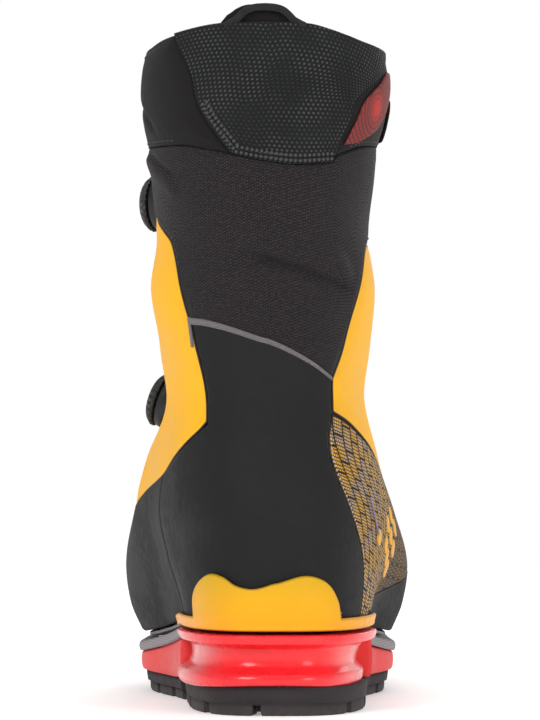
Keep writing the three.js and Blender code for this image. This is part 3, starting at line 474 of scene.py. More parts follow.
class Tree:
    """Adds nodes to a shader tree: an input that is a socket is linked, and any other is set."""

    def __init__(self, tree):
        self.tree = tree

    def add(self, kind, *inputs, **settings):
        """A new node of a kind, with its settings, and its inputs in their order."""
        node = self.tree.nodes.new("ShaderNode" + kind)
        for key, value in settings.items():
            setattr(node, key, value)
        for socket, value in zip(node.inputs, inputs):
            self.put(socket, value)
        return node

    def put(self, socket, value):
        """Links a socket or sets a value; a colour of three parts gets its fourth."""
        if isinstance(value, bpy.types.NodeSocket):
            self.tree.links.new(value, socket)
        elif value is not None:
            if socket.type == "RGBA" and len(value) == 3:
                value = (*value, 1.0)
            socket.default_value = value

    def axis(self, vector, letter):
        """One part of a vector, X, Y or Z."""
        return self.add("SeparateXYZ", vector).outputs[letter]

    def from_half(self, value):
        """How far a share is from one half."""
        return self.math("ABSOLUTE", self.math("SUBTRACT", value, 0.5))

    def math(self, kind, *inputs, clamp=False):
        """The result of a Math node."""
        return self.add("Math", *inputs, operation=kind, use_clamp=clamp).outputs[0]

    def vector(self, kind, a, b=None):
        """The result of a Vector Math node."""
        node = self.add("VectorMath", a, b, operation=kind)
        return node.outputs["Value" if kind in ("LENGTH", "DISTANCE") else "Vector"]

    def span(self, value, low, high, to_low=0.0, to_high=1.0):
        """A smooth step from to_low, where the value is low, to to_high, where it is high."""
        node = self.add("MapRange", value, low, high, to_low, to_high, interpolation_type="SMOOTHSTEP")
        return node.outputs["Result"]

    def mix(self, share, a, b):
        """A colour a share of the way from a to b."""
        node = self.add("Mix", data_type="RGBA")
        for socket, value in zip((node.inputs["Factor"], node.inputs[6], node.inputs[7]), (share, a, b)):
            self.put(socket, value)
        return node.outputs[2]

    def noise(self, place, scale, detail=2.0, roughness=0.5):
        """Noise from 0 to 1 about one half."""
        node = self.add("TexNoise")
        for key, value in (("Vector", place), ("Scale", scale), ("Detail", detail), ("Roughness", roughness)):
            self.put(node.inputs[key], value)
        return node.outputs["Fac"]


def shader_group(*sockets):
    """Turns a function (tree, inputs), which returns {output name: (kind, socket)}, into one that returns its
    node group. The group is made once and has its name. sockets lists (name, kind, default) for the inputs."""
    def wrap(build):
        @wraps(build)
        def made_once():
            known = bpy.data.node_groups.get(build.__name__)
            if known:
                return known
            made = bpy.data.node_groups.new(build.__name__, "ShaderNodeTree")
            for label, kind, default in sockets:
                socket = made.interface.new_socket(label, in_out="INPUT", socket_type="NodeSocket" + kind)
                if default is not None:
                    socket.default_value = default
            entry, leave = made.nodes.new("NodeGroupInput"), made.nodes.new("NodeGroupOutput")
            for label, (kind, source) in build(Tree(made), entry.outputs).items():
                made.interface.new_socket(label, in_out="OUTPUT", socket_type="NodeSocket" + kind)
                made.links.new(source, leave.inputs[label])
            return made

        return made_once

    return wrap


@shader_group(("Place", "Vector", None), ("Pitch", "Float", 0.002), ("Radius", "Float", 0.3))
def dot_lattice(t, given):
    """Round dots on a hexagonal lattice: the nearer centre of two crossed rectangular lattices."""
    pitch = t.add("CombineXYZ", given["Pitch"], given["Pitch"], 1.0).outputs[0]
    place = t.vector("DIVIDE", given["Place"], pitch)
    root = math.sqrt(3)
    far = []
    for shift in ((0.0, 0.0, 0.0), (0.5, root / 2, 0.0)):
        cell = t.vector("DIVIDE", t.vector("ADD", place, shift), (1.0, root, 1.0))
        inside = t.vector("SUBTRACT", t.vector("FRACTION", cell), (0.5, 0.5, 0.0))
        flat = t.vector("MULTIPLY", inside, (1.0, root, 0.0))
        far.append(t.vector("LENGTH", flat))
    near = t.math("MINIMUM", *far)
    inner = t.math("MULTIPLY", given["Radius"], 0.35)
    return {"Mask": ("Float", t.span(near, given["Radius"], inner))}


@shader_group(("Place", "Vector", None), ("Width", "Float", 0.001), ("Length", "Float", 0.001))
def herringbone(t, given):
    """Slanting dashes in columns, whose slant turns round from each column to the next."""
    split = t.add("SeparateXYZ", given["Place"])
    across = t.math("DIVIDE", split.outputs["X"], given["Width"])
    column = t.math("FLOOR", across)
    inside = t.math("FRACT", across)
    turn = t.math("MULTIPLY_ADD", t.math("FRACT", t.math("MULTIPLY", column, 0.5)), 4.0, -1.0)
    slant = t.math("MULTIPLY", t.math("MULTIPLY", inside, turn), 0.8)
    rise = t.math("DIVIDE", split.outputs["Y"], given["Length"])
    row = t.math("FRACT", t.math("ADD", t.math("ADD", rise, slant), t.math("MULTIPLY", column, 0.37)))
    dash = t.span(t.from_half(row), 0.34, 0.12)
    strip = t.span(t.from_half(inside), 0.5, 0.3)
    return {"Mask": ("Float", t.math("MULTIPLY", dash, strip))}


@shader_group(("Place", "Vector", None), ("Scale", "Float", 30.0))
def mottle(t, given):
    """Cloudy change over a surface from a coarse and a fine noise, about one half."""
    coarse = t.noise(given["Place"], given["Scale"], 3.0)
    fine = t.noise(given["Place"], t.math("MULTIPLY", given["Scale"], 9.0), 2.0)
    both = t.math("ADD", t.math("MULTIPLY", coarse, 0.65), t.math("MULTIPLY", fine, 0.35))
    return {"Value": ("Float", t.span(both, 0.32, 0.68))}


@shader_group(("Place", "Vector", None), ("Rim", "Float", 1.0), ("Reach", "Float", 0.001))
def edge_rub(t, given):
    """Wear that follows an edge: full at the edge, gone at the reach, and broken up by a noise."""
    broken = t.math("MULTIPLY", t.noise(given["Place"], 420.0, 3.0), given["Reach"])
    return {"Mask": ("Float", t.span(given["Rim"], t.math("MULTIPLY", broken, 2.0), 0.0))}


def use(t, made, **given):
    """Places a group in a tree with its inputs, and returns its first output."""
    node = t.add("Group", node_tree=made)
    for key, value in given.items():
        t.put(node.inputs[key], value)
    return node.outputs[0]


def material(name, build, **constants):
    """A material with a Principled shader: build(tree) returns sockets for it, and constants are set on it."""
    name = f"finish_{name}"
    known = bpy.data.materials.get(name)
    if known:
        return known
    made = bpy.data.materials.new(name)
    made.use_nodes = True
    t = Tree(made.node_tree)
    shader = made.node_tree.nodes["Principled BSDF"]
    for key, value in constants.items():
        shader.inputs[key.replace("_", " ")].default_value = value
    for key, value in build(t).items():
        t.put(shader.inputs[key], value)
    return made


def finish(**constants):
    """Turns a function of a tree, which returns sockets, into one that returns the material of its name."""
    def wrap(build):
        @wraps(build)
        def made_once():
            return material(build.__name__, build, **constants)

        return made_once

    return wrap


def object_place(t):
    """The piece's own coordinates."""
    return t.add("TexCoord").outputs["Object"]


def cloth_place(t):
    """Coordinates on the unrolled piece, metres."""
    return t.add("UVMap", uv_map="cloth").outputs["UV"]


def rim_of(t):
    """Distance from the piece's open edge, metres."""
    return t.add("Attribute", attribute_name="rim").outputs["Fac"]


def bump(t, height, depth):
    """A normal from a height, as deep as a number of millimetres."""
    node = t.add("Bump")
    node.inputs["Distance"].default_value = depth * MM
    node.inputs["Strength"].default_value = 1.0
    t.put(node.inputs["Height"], height)
    return node.outputs["Normal"]


def colours():
    """The colours that the sidebar shows."""
    return bpy.context.scene.boot_colours


def sizes():
    """The sizes that the sidebar shows."""
    return bpy.context.scene.boot_sizes


def shade(colour, share):
    """A colour with each of its parts multiplied by a share."""
    return [part * share for part in colour]


# ---------- finishes ----------
@finish(Specular_IOR_Level=0.2)
def rubber_sheet(t):
    """Matt rubber: cloudy black, dust along its open edges and a fine grain."""
    place = object_place(t)
    cloud = use(t, mottle(), Place=place, Scale=28.0)
    dust = use(t, edge_rub(), Place=place, Rim=rim_of(t), Reach=0.0016)
    base = t.mix(cloud, shade(colours().rubber, 0.86), shade(colours().rubber, 1.18))
    grain = t.noise(place, 2600.0, 2.0)
    return {
        "Base Color": t.mix(t.math("MULTIPLY", dust, 0.3), base, tone("6b6866")),
        "Roughness": t.span(cloud, 0.0, 1.0, 0.62, 0.78),
        "Normal": bump(t, t.math("ADD", grain, t.math("MULTIPLY", t.noise(place, 160.0), 1.2)), 0.09),
    }


@finish(Specular_IOR_Level=0.35)
def tread_rubber(t):
    """Greyer rubber, dusty where it meets the ground."""
    place = object_place(t)
    cloud = use(t, mottle(), Place=place, Scale=45.0)
    height = t.axis(place, "Z")
    dusty = t.math("MULTIPLY", t.span(height, 0.006, 0.0), t.noise(place, 300.0, 4.0))
    base = t.mix(cloud, tone("211e20"), tone("2f2b2d"))
    return {
        "Base Color": t.mix(t.math("MULTIPLY", dusty, 0.35), base, tone("6c645d")),
        "Roughness": t.span(cloud, 0.0, 1.0, 0.66, 0.86),
        "Normal": bump(t, t.noise(place, 1500.0, 3.0), 0.12),
    }


@finish(Specular_IOR_Level=0.22, Sheen_Weight=0.03)
def yellow_cloth(t):
    """Coated yellow cloth: a fine weave, faint scuffs and a dark bound edge."""
    weave_at, place = cloth_place(t), object_place(t)
    cloud = use(t, mottle(), Place=place, Scale=24.0)
    weave = use(t, dot_lattice(), Place=weave_at, Pitch=0.0007, Radius=0.5)
    border = t.span(rim_of(t), 0.0012, 0.0006)
    base = t.mix(cloud, shade(colours().yellow, 0.9), colours().yellow)
    base = t.mix(t.math("MULTIPLY", weave, 0.12), base, tone("ffd257"))
    worn = t.math("MULTIPLY", t.span(t.noise(place, 520.0, 5.0), 0.62, 0.78), 0.25)
    base = t.mix(worn, base, tone("9a7413"))
    return {
        "Base Color": t.mix(border, base, tone("241f1e")),
        "Roughness": t.span(cloud, 0.0, 1.0, 0.5, 0.68),
        "Normal": bump(t, t.math("ADD", weave, t.math("MULTIPLY", t.noise(place, 90.0), 4.0)), 0.05),
    }


@finish(Specular_IOR_Level=0.2, Sheen_Weight=0.04, Sheen_Roughness=0.5)
def black_twill(t):
    """Black twill, whose slanting dashes catch the light here and there."""
    weave_at, place = cloth_place(t), object_place(t)
    dash = use(t, herringbone(), Place=weave_at, Width=0.0011, Length=sizes().twill_pitch)
    cloud = use(t, mottle(), Place=place, Scale=36.0)
    base = t.mix(cloud, shade(colours().gaiter, 0.8), colours().gaiter)
    # painted highlight: some dashes get a lighter colour, as where the twill catches the light
    dash_highlight = t.math("MULTIPLY", dash, t.span(t.noise(weave_at, 700.0, 2.0), 0.36, 0.66, 0.12, 0.75))
    return {
        "Base Color": t.mix(dash_highlight, base, tone("453e3f")),
        "Roughness": t.span(dash, 0.0, 1.0, 0.9, 0.66),
        "Normal": bump(t, t.math("ADD", dash, t.math("MULTIPLY", t.noise(place, 110.0, 3.0), 3.2)), 0.16),
    }


@finish(Specular_IOR_Level=0.22)
def dotted_cloth(t):
    """Black knit with raised dots that shine unevenly."""
    weave_at, place = cloth_place(t), object_place(t)
    dot = use(t, dot_lattice(), Place=weave_at, Pitch=sizes().dot_pitch, Radius=0.31)
    knit = use(t, dot_lattice(), Place=weave_at, Pitch=0.0006, Radius=0.5)
    cloud = use(t, mottle(), Place=place, Scale=40.0)
    base = t.mix(cloud, shade(colours().cuff, 0.75), colours().cuff)
    shine = t.math("MULTIPLY", dot, t.span(t.noise(place, 75.0, 2.0), 0.34, 0.66, 0.08, 0.5))
    height = t.math("ADD", dot, t.math("MULTIPLY", knit, 0.14))
    return {
        "Base Color": t.mix(shine, base, tone("626462")),
        "Roughness": t.span(dot, 0.0, 1.0, 0.88, 0.5),
        "Normal": bump(t, height, 0.34),
    }


@finish(Specular_IOR_Level=0.18, Sheen_Weight=0.05, Sheen_Roughness=0.45)
def padded_cloth(t):
    """Fine black herringbone knit over foam."""
    weave_at, place = cloth_place(t), object_place(t)
    knit = use(t, herringbone(), Place=weave_at, Width=0.0007, Length=0.0009)
    cloud = use(t, mottle(), Place=place, Scale=30.0)
    base = t.mix(cloud, tone("0e0c0d"), tone("151213"))
    return {
        "Base Color": t.mix(t.math("MULTIPLY", knit, 0.22), base, tone("363233")),
        "Roughness": t.span(cloud, 0.0, 1.0, 0.78, 0.92),
        "Normal": bump(t, t.math("ADD", knit, t.math("MULTIPLY", t.noise(place, 85.0, 3.0), 3.0)), 0.1),
    }


@finish(Specular_IOR_Level=0.2, Sheen_Weight=0.2, Sheen_Roughness=0.4)
def lining_foam(t):
    """Dark lining with a short pile."""
    place = object_place(t)
    pile = t.noise(place, 1400.0, 4.0, 0.7)
    cloud = use(t, mottle(), Place=place, Scale=40.0)
    base = t.mix(cloud, tone("171617"), tone("242223"))
    return {
        "Base Color": t.mix(t.math("MULTIPLY", pile, 0.18), base, tone("4b4849")),
        "Roughness": t.span(pile, 0.3, 0.7, 0.86, 1.0),
        "Normal": bump(t, pile, 0.25),
    }


@finish(Specular_IOR_Level=0.2)
def pressed_felt(t):
    """Grey felt of pressed fibres."""
    place = object_place(t)
    fibre = t.noise(place, 900.0, 5.0, 0.75)
    return {
        "Base Color": t.mix(fibre, tone("2b2b2d"), tone("545458")),
        "Roughness": t.span(fibre, 0.3, 0.7, 0.85, 1.0),
        "Normal": bump(t, fibre, 0.3),
    }


def plastic(name, colour, rough, coat=0.0, dark=0.82, depth=0.03):
    """Moulded plastic: a cloudy body colour, flow marks in the roughness and a faint orange peel."""
    def build(t):
        place = object_place(t)
        cloud = use(t, mottle(), Place=place, Scale=22.0)
        peel = t.noise(place, 650.0, 2.0)
        return {
            "Base Color": t.mix(cloud, shade(colour, dark), list(colour)),
            "Roughness": t.span(cloud, 0.0, 1.0, rough * 0.85, rough * 1.2),
            "Normal": bump(t, peel, depth),
        }

    return material(name, build, Coat_Weight=coat, Coat_Roughness=0.12, Specular_IOR_Level=0.38)


def red_plastic():
    """Glossy red of the heel ledge."""
    return plastic("red_plastic", colours().red, 0.28, coat=0.18)


def black_plastic():
    """Satin black of the dials and the zip."""
    return plastic("black_plastic", tone("1b1b1c"), 0.48, dark=0.7, depth=0.06)


@finish(Specular_IOR_Level=0.28)
def yellow_plastic(t):
    """Satin yellow that turns slightly olive at its thin upper lobes."""
    place = object_place(t)
    cloud = use(t, mottle(), Place=place, Scale=20.0)
    height = t.axis(place, "Z")
    thin = t.span(height, 0.046, 0.063)
    warm = t.span(height, 0.046, 0.037)
    base = t.mix(t.math("MULTIPLY", thin, 0.75), colours().heel_yellow, tone("c09c08"))
    base = t.mix(t.math("MULTIPLY", warm, 0.6), base, tone("fb9d08"))
    base = t.mix(t.math("MULTIPLY", cloud, 0.25), base, tone("c99a08"))
    rim = t.span(rim_of(t), 0.0011, 0.0004)
    return {
        "Base Color": t.mix(t.math("MULTIPLY", rim, 0.35), base, tone("8a6c10")),
        "Roughness": t.span(cloud, 0.0, 1.0, 0.36, 0.5),
        "Normal": bump(t, t.noise(place, 700.0), 0.03),
    }


@finish(Specular_IOR_Level=0.3)
def grey_board(t):
    """A pressed board seen at its edge: thin layers and a rough, fibrous face."""
    place = object_place(t)
    fibre = t.noise(place, 800.0, 4.0)
    height = t.axis(place, "Z")
    layer = t.math("SINE", t.math("MULTIPLY", height, 5200.0))
    share = t.math("MULTIPLY_ADD", layer, 0.2, fibre, clamp=True)
    return {
        "Base Color": t.mix(share, tone("6f6a6d"), tone("a29c9f")),
        "Roughness": t.span(fibre, 0.3, 0.7, 0.6, 0.85),
        "Normal": bump(t, share, 0.1),
    }


@finish(Coat_Weight=0.2)
def composite_plate(t):
    """Woven composite: a checker of tow bundles under a satin face."""
    place = object_place(t)
    checks = t.add("TexChecker", place, None, None, 600.0).outputs["Fac"]
    return {
        "Base Color": t.mix(checks, tone("101010"), tone("232323")),
        "Roughness": t.span(checks, 0.0, 1.0, 0.32, 0.5),
        "Normal": bump(t, checks, 0.04),
    }


def yellow_print():
    """A thick, slightly glossy printed yellow with a grainy face."""
    return plastic("yellow_print", tone("e3a41c"), 0.5, depth=0.05)


def lilac_print():
    """Matt lilac of the printed line."""
    return plastic("lilac_print", tone("8d7f9b"), 0.6, depth=0.05)


def dot_print():
    """Dark grey of the yoke's edge dots."""
    return plastic("dot_print", tone("3a3b3a"), 0.5, depth=0.02)


@finish(Specular_IOR_Level=0.2, Sheen_Weight=0.35, Sheen_Roughness=0.4)
def rough_trim(t):
    """Frayed grey tape: a herringbone under a rough fuzz."""
    weave_at, place = cloth_place(t), object_place(t)
    fuzz = t.noise(place, 1500.0, 5.0, 0.75)
    knit = use(t, herringbone(), Place=weave_at, Width=0.0009, Length=0.0008)
    share = t.math("MULTIPLY", fuzz, t.math("MULTIPLY_ADD", knit, 0.5, 0.55), clamp=True)
    return {
        "Base Color": t.mix(share, tone("3d393a"), tone("a39a9c")),
        "Roughness": t.span(fuzz, 0.3, 0.7, 0.85, 1.0),
        "Normal": bump(t, t.math("ADD", fuzz, knit), 0.3),
    }


@shader_group(("Place", "Vector", None), ("Width", "Float", 0.0074), ("Height", "Float", 0.0115))
def scale_lattice(t, given):
    """Slanting scales, each a small field of dots: a sheared brick lattice, whose lines stay dark."""
    split = t.add("SeparateXYZ", given["Place"])
    x, y = split.outputs["X"], split.outputs["Y"]
    lean = t.math("MULTIPLY_ADD", y, 0.34, x)
    drop = t.math("MULTIPLY_ADD", x, 0.22, y)
    across = t.math("DIVIDE", lean, given["Width"])
    column = t.math("FLOOR", across)
    rise = t.math("ADD", t.math("DIVIDE", drop, given["Height"]), t.math("MULTIPLY", column, 0.5))
    cx = t.from_half(t.math("FRACT", across))
    cy = t.from_half(t.math("FRACT", rise))
    inside = t.math("MULTIPLY", t.span(cx, 0.44, 0.38), t.span(cy, 0.46, 0.42))
    px = t.from_half(t.math("FRACT", t.math("MULTIPLY", across, 5.0)))
    py = t.from_half(t.math("FRACT", t.math("MULTIPLY", rise, 7.0)))
    dots = t.math("MULTIPLY", t.span(px, 0.46, 0.26), t.span(py, 0.44, 0.24))
    return {"Dots": ("Float", t.math("MULTIPLY", dots, inside)), "Scale": ("Float", inside)}


@finish(Specular_IOR_Level=0.35)
def scale_knit(t):
    """Knit printed with scales, from yellow to tan, that fade towards the front."""
    weave_at, place = cloth_place(t), object_place(t)
    dots = t.add("Group", node_tree=scale_lattice())
    t.put(dots.inputs["Place"], weave_at)
    cloud = t.noise(place, 70.0, 2.0)
    tint = t.mix(t.span(cloud, 0.42, 0.62), tone("d6a02c"), tone("b59a80"))
    border = t.span(rim_of(t), 0.0008, 0.0016)
    front = t.span(t.axis(place, "Y"), 0.04, 0.085, 1.0, 0.3)
    ink = t.math("MULTIPLY", t.math("MULTIPLY", dots.outputs["Dots"], border), front)
    ground = t.mix(dots.outputs["Scale"], tone("161213"), tone("30240f"))
    return {
        "Base Color": t.mix(ink, ground, tint),
        "Roughness": t.span(ink, 0.0, 1.0, 0.8, 0.5),
        "Normal": bump(t, ink, 0.18),
    }


@finish(Specular_IOR_Level=0.35)
def red_print(t):
    """A printed mesh: red rings about a bright middle, broken by a fine net."""
    weave_at, place = cloth_place(t), object_place(t)
    far = t.vector("DISTANCE", place, tuple(on_form(*BADGE_EYE, 1.0)))
    rings = t.math("MULTIPLY_ADD", t.math("SINE", t.math("MULTIPLY", far, 2600.0)), 0.5, 0.5)
    net = use(t, dot_lattice(), Place=weave_at, Pitch=0.0011, Radius=0.42)
    bright = t.span(far, 0.009, 0.0, 0.0, 0.55)
    share = t.math("MULTIPLY", t.math("MULTIPLY_ADD", rings, 0.4, 0.12), t.math("MULTIPLY_ADD", net, 0.6, 0.5))
    base = t.mix(t.math("ADD", share, bright, clamp=True), tone("3a2424"), colours().badge)
    return {
        "Base Color": base,
        "Roughness": t.span(net, 0.0, 1.0, 0.8, 0.5),
        "Normal": bump(t, net, 0.16),
    }


@finish(Metallic=1.0)
def brushed_steel(t):
    """Steel with fine brushed lines."""
    place = object_place(t)
    lines = t.noise(t.vector("MULTIPLY", place, (3000.0, 300.0, 300.0)), 1.0, 3.0)
    return {
        "Base Color": t.mix(lines, tone("7d7d80"), tone("b0b0b3")),
        "Roughness": t.span(lines, 0.2, 0.8, 0.26, 0.44),
        "Normal": bump(t, lines, 0.01),
    }


@finish(Metallic=0.6)
def lace_wire(t):
    """Twisted wire: slanting strands round the lace."""
    split = t.add("SeparateXYZ", cloth_place(t))
    twist = t.math("ADD", t.math("MULTIPLY", split.outputs["X"], 8600.0),
                   t.math("MULTIPLY", split.outputs["Y"], 5200.0))
    strand = t.math("MULTIPLY_ADD", t.math("SINE", twist), 0.5, 0.5)
    return {
        "Base Color": t.mix(strand, tone("2c2c2d"), tone("6d6d70")),
        "Roughness": t.span(strand, 0.0, 1.0, 0.5, 0.3),
        "Normal": bump(t, strand, 0.12),
    }


def thread(name, colour):
    """Twisted thread of one colour, from its sRGB code."""
    def build(t):
        place = object_place(t)
        ply = t.noise(place, 2400.0, 2.0)
        return {
            "Base Color": t.mix(ply, shade(tone(colour), 0.7), tone(colour)),
            "Roughness": t.span(ply, 0.3, 0.7, 0.6, 0.85),
            "Normal": bump(t, ply, 0.05),
        }

    return material(name, build, Sheen_Weight=0.2)


@finish(Emission_Color=(1, 1, 1, 1), Emission_Strength=0.3)
def floor(t):
    """White paper that glows a little, so that it has no far edge."""
    cloud = t.noise(object_place(t), 3.0, 2.0)
    return {
        "Base Color": t.mix(cloud, tone("eeeeec"), tone("f6f6f5")),
        "Roughness": t.span(cloud, 0.3, 0.7, 0.75, 0.9),
    }


# ---------- sizes and colours that a user would change ----------
class BootSizes(bpy.types.PropertyGroup):
    """Pitches of the boot's repeating details."""

    dot_pitch: bpy.props.FloatProperty(
        name="Dot pitch", description="Distance between the cuff's raised dots", default=0.0021, min=0.001,
        unit="LENGTH")
    twill_pitch: bpy.props.FloatProperty(
        name="Twill pitch", description="Length of one dash of the gaiter's weave", default=0.0013, min=0.0005,
        unit="LENGTH")
    stitch_pitch: bpy.props.FloatProperty(
        name="Stitch pitch", description="Distance from one stitch to the next", default=0.0030, min=0.001,
        unit="LENGTH")
    tooth_pitch: bpy.props.FloatProperty(
        name="Tooth pitch", description="Distance between teeth on one side of the zip", default=0.0024,
        min=0.001, unit="LENGTH")


def colour_property(label, text, code):
    """A colour that the sidebar shows, from its sRGB code."""
    return bpy.props.FloatVectorProperty(
        name=label, description=text, subtype="COLOR", size=3, min=0, max=1, default=tone(code))


class BootColours(bpy.types.PropertyGroup):
    """Main colours of the boot's finishes."""

    rubber: colour_property("Rubber", "Heel and rand rubber", "1a191a")
    yellow: colour_property("Yellow fabric", "Coated side panels", "f6b20a")
    gaiter: colour_property("Gaiter", "Ground of the gaiter's twill", "191516")
    cuff: colour_property("Cuff", "Ground of the dotted cuff fabric", "181919")
    red: colour_property("Red plastic", "Heel ledge", "f3262d")
    heel_yellow: colour_property("Heel yellow", "Heel cup", "e2a202")
    badge: colour_property("Red print", "Print on the cuff", "d0332b")


# ---------- the stage; metres and watts ----------
FLOOR_SIZE, CAMERA_BACK, LENS, SENSOR = 3.2, 2.3, 270.6, 36.0
VIEW_X, VIEW_Z = -0.0038, 0.1515
LAMP_AIM = (0, 0.05, 0.14)
LAMPS = (  # name, place, size and power
    ("key_light", (-0.9, -1.5, 1.3), 0.9, 20), ("fill_light", (1.1, -1.3, 0.7), 0.8, 9),
    ("top_light", (0.1, 0.2, 1.6), 1.2, 9), ("rear_light", (0.3, 1.4, 0.9), 1.2, 6),
)


class BOOT_OT_stage(bpy.types.Operator):
    """Adds the floor, the soft lights and the camera"""

    bl_idname = "boot.stage"
    bl_label = "Stage"

    def execute(self, context):
        scene = context.scene
        side = np.linspace(-FLOOR_SIZE / 2, FLOOR_SIZE / 2, 3)
        grid = np.stack(np.meshgrid(side, side), -1).reshape(-1, 2)
        ground = mesh_object("floor", np.column_stack([grid, np.zeros(len(grid))]), quads(3, 3))
        ground.data.materials.append(floor())
        scene.world = self.sky()
        for name, place, size, power in LAMPS:
            data = bpy.data.lights.new(name, "AREA")
            data.shape, data.size, data.energy = "DISK", size, power
            lamp = linked(name, data)
            lamp.location = place
            lamp.rotation_euler = (Vector(LAMP_AIM) - lamp.location).to_track_quat("-Z", "Y").to_euler()
        data = bpy.data.cameras.new("camera")
        data.sensor_fit, data.sensor_height, data.sensor_width, data.lens = "VERTICAL", SENSOR, SENSOR, LENS
        camera = linked("camera", data)
        camera.location = (VIEW_X, FORM["rear_y"](FEATHER) * MM - CAMERA_BACK, VIEW_Z)
        camera.rotation_euler = (math.radians(90), 0, 0)
        scene.camera = camera
        scene.view_settings.view_transform = "Standard"
        return {"FINISHED"}

    @staticmethod
    def sky():
        """A room that is white along its foot and grey above, so that the light comes mostly from the lamps."""
        world = bpy.data.worlds.new("studio")
        world.use_nodes = True
        t = Tree(world.node_tree)
        rise = t.axis(t.add("TexCoord").outputs["Generated"], "Z")
        back = world.node_tree.nodes["Background"]
        t.put(back.inputs["Color"], t.mix(t.span(rise, 0.1, 0.4), (1.0, 1.0, 1.0), (0.34, 0.34, 0.35)))
        return world


# ---------- the sole; lifts and heights in millimetres ----------
HEEL_TREAD_TOP, TREAD_THICK, SOLE_SPLIT_Y = 11.3, 9.6, 42.0
TOE_SPRING, SPRING_START_Y, SPRING_END_Y = 14.0, 185.0, 278.0
HEEL_TREAD_END_Y, FORE_TREAD_START_Y = SOLE_SPLIT_Y + 8, SOLE_SPLIT_Y + 26
OUTLINE_LEVEL = FEATHER + 4  # where the outline takes its directions from
LEDGE_LEAN = 6.0
LEDGE_SECTION = [(1.0, 11.5), (2.4, 11.8), (3.2, 13.0), (3.2, 15.2), (2.4, 17.2), (0.2, 19.0), (-1.9, 20.8),
                 (-2.8, 23.4), (-2.7, 26.4), (-2.0, 28.6), (0.2, 29.9), (2.7, 30.5), (3.2, 31.4)]
MIDSOLE_SECTION = [(0.6, 0.0), (1.2, 0.03), (1.7, 0.2), (1.9, 0.45), (1.9, 0.65), (1.7, 0.9), (1.2, 1.0)]
WELT_SECTION = [(1.9, 5.1), (2.5, 4.8), (2.9, 3.9), (3.0, 2.6), (2.8, 1.4), (2.2, 0.7), (1.4, 0.5)]
TOE_WELT_SECTION = [(3.5, -5.3), (7.2, -5.0), (7.9, -3.4), (7.7, -1.2), (5.2, -0.1), (3.5, -0.6)]
TOE_WELT_FROM, TOE_WELT_TO = 152, 208
LUG_SECTION = [(1.3, 0.0), (0.5, 0.25), (0.15, 1.0), (0.0, 2.4), (0.0, 5.4)]
BLOCK_CORNERS = [(1, 0.6), (0.75, 1), (-0.75, 1), (-1, 0.6), (-1, -0.6), (-0.75, -1), (0.75, -1), (1, -0.6)]


def ground_at(y):
    """Height of the ground side of the sole at y, millimetres: flat, then the toe spring."""
    return TOE_SPRING * clamp01((y - SPRING_START_Y) / (SPRING_END_Y - SPRING_START_Y)) ** 1.8


def feather_at(y):
    """Underside of the upper at y, millimetres."""
    rear, front = FORM["rear_y"](FEATHER), FORM["front_y"](FEATHER)
    return height_on(FEATHER, clamp01((y - rear) / (front - rear))) - 2.6


def sole_outline(lift, count, heel_to=None, toe_from=None):
    """The sole's outline grown by a lift, in millimetres, evenly spaced. It is cut straight across in front of
    the heel block or behind the toe part, and the cut closes the loop."""
    turn = np.linspace(-180, 180, 721) if toe_from is None else np.linspace(0, 360, 721)
    away = unit(form_normal(turn, OUTLINE_LEVEL)[:, :2])
    plan = form_point(turn, FEATHER)[:, :2] / MM + away * lift
    if heel_to is None and toe_from is None:
        plan = plan[:-1]
    else:
        cut = heel_to if toe_from is None else toe_from
        keep = plan[:, 1] <= cut if toe_from is None else plan[:, 1] >= cut
        first, last = np.flatnonzero(keep)[[0, -1]]
        ends = []
        for inside, outside in ((first, first - 1), (last, last + 1)):
            a, b = plan[outside], plan[inside]
            ends.append(mix(a, b, (cut - a[1]) / (b[1] - a[1])))
        across = np.linspace(ends[1], ends[0], 12)[1:]
        plan = np.concatenate([ends[0][None], plan[first:last + 1], ends[1][None], across[:-1]])
    closed = np.concatenate([plan, plan[:1]])
    far = run_length(closed)
    place = np.linspace(0, far[-1], count, endpoint=False)
    return np.stack([np.interp(place, far, closed[:, k]) for k in (0, 1)], 1)


def sole_loops(levels, count, heel_to=None, toe_from=None):
    """Loops for a loft: each level is (lift, height as a function of the plan's x and y)."""
    loops = []
    for lift, height in levels:
        plan = sole_outline(lift, count, heel_to, toe_from)
        z = height(plan[:, 0], plan[:, 1])
        loops.append(np.stack([plan[:, 0], plan[:, 1], np.broadcast_to(z, len(plan))], 1) * MM)
    return np.array(loops)


def ledge_arch(x, y):
    """How far the heel ledge's lower edge rises in the middle of the back, millimetres."""
    return 1.5 * clamp01(1 - (x / 36) ** 2) * smooth((-y - 10) / 20)


def heel_ledge_loops():
    """The ledge's side as a smooth line of (lift, height), up to its upper lip, and then straight up to the
    feather. Its medial side leans in towards the ground."""
    lift, rise = (through([(k, row[c]) for k, row in enumerate(LEDGE_SECTION)]) for c in (0, 1))
    levels = []
    for t in np.linspace(0, len(LEDGE_SECTION) - 1, 61):
        level = float(rise(t))
        share = 1 - smooth((level - LEDGE_SECTION[0][1]) / 8)
        levels.append((float(lift(t)), lambda x, y, z=level, a=share: z + a * ledge_arch(x, y)))
    for t in np.linspace(0.15, 1, 10):
        out = 3.4 - 1.4 * smooth((t - 0.8) / 0.2)
        levels.append((out, lambda x, y, t=t: mix(LEDGE_SECTION[-1][1], feather_at(y) - 0.8, t)))
    loops = sole_loops(levels, 260, heel_to=SOLE_SPLIT_Y)
    lean = clamp01(loops[..., 0] / (38 * MM)) * (1 - smooth((loops[..., 2] / MM - 11.7) / 21))
    loops[..., 0] -= LEDGE_LEAN * MM * lean
    return loops


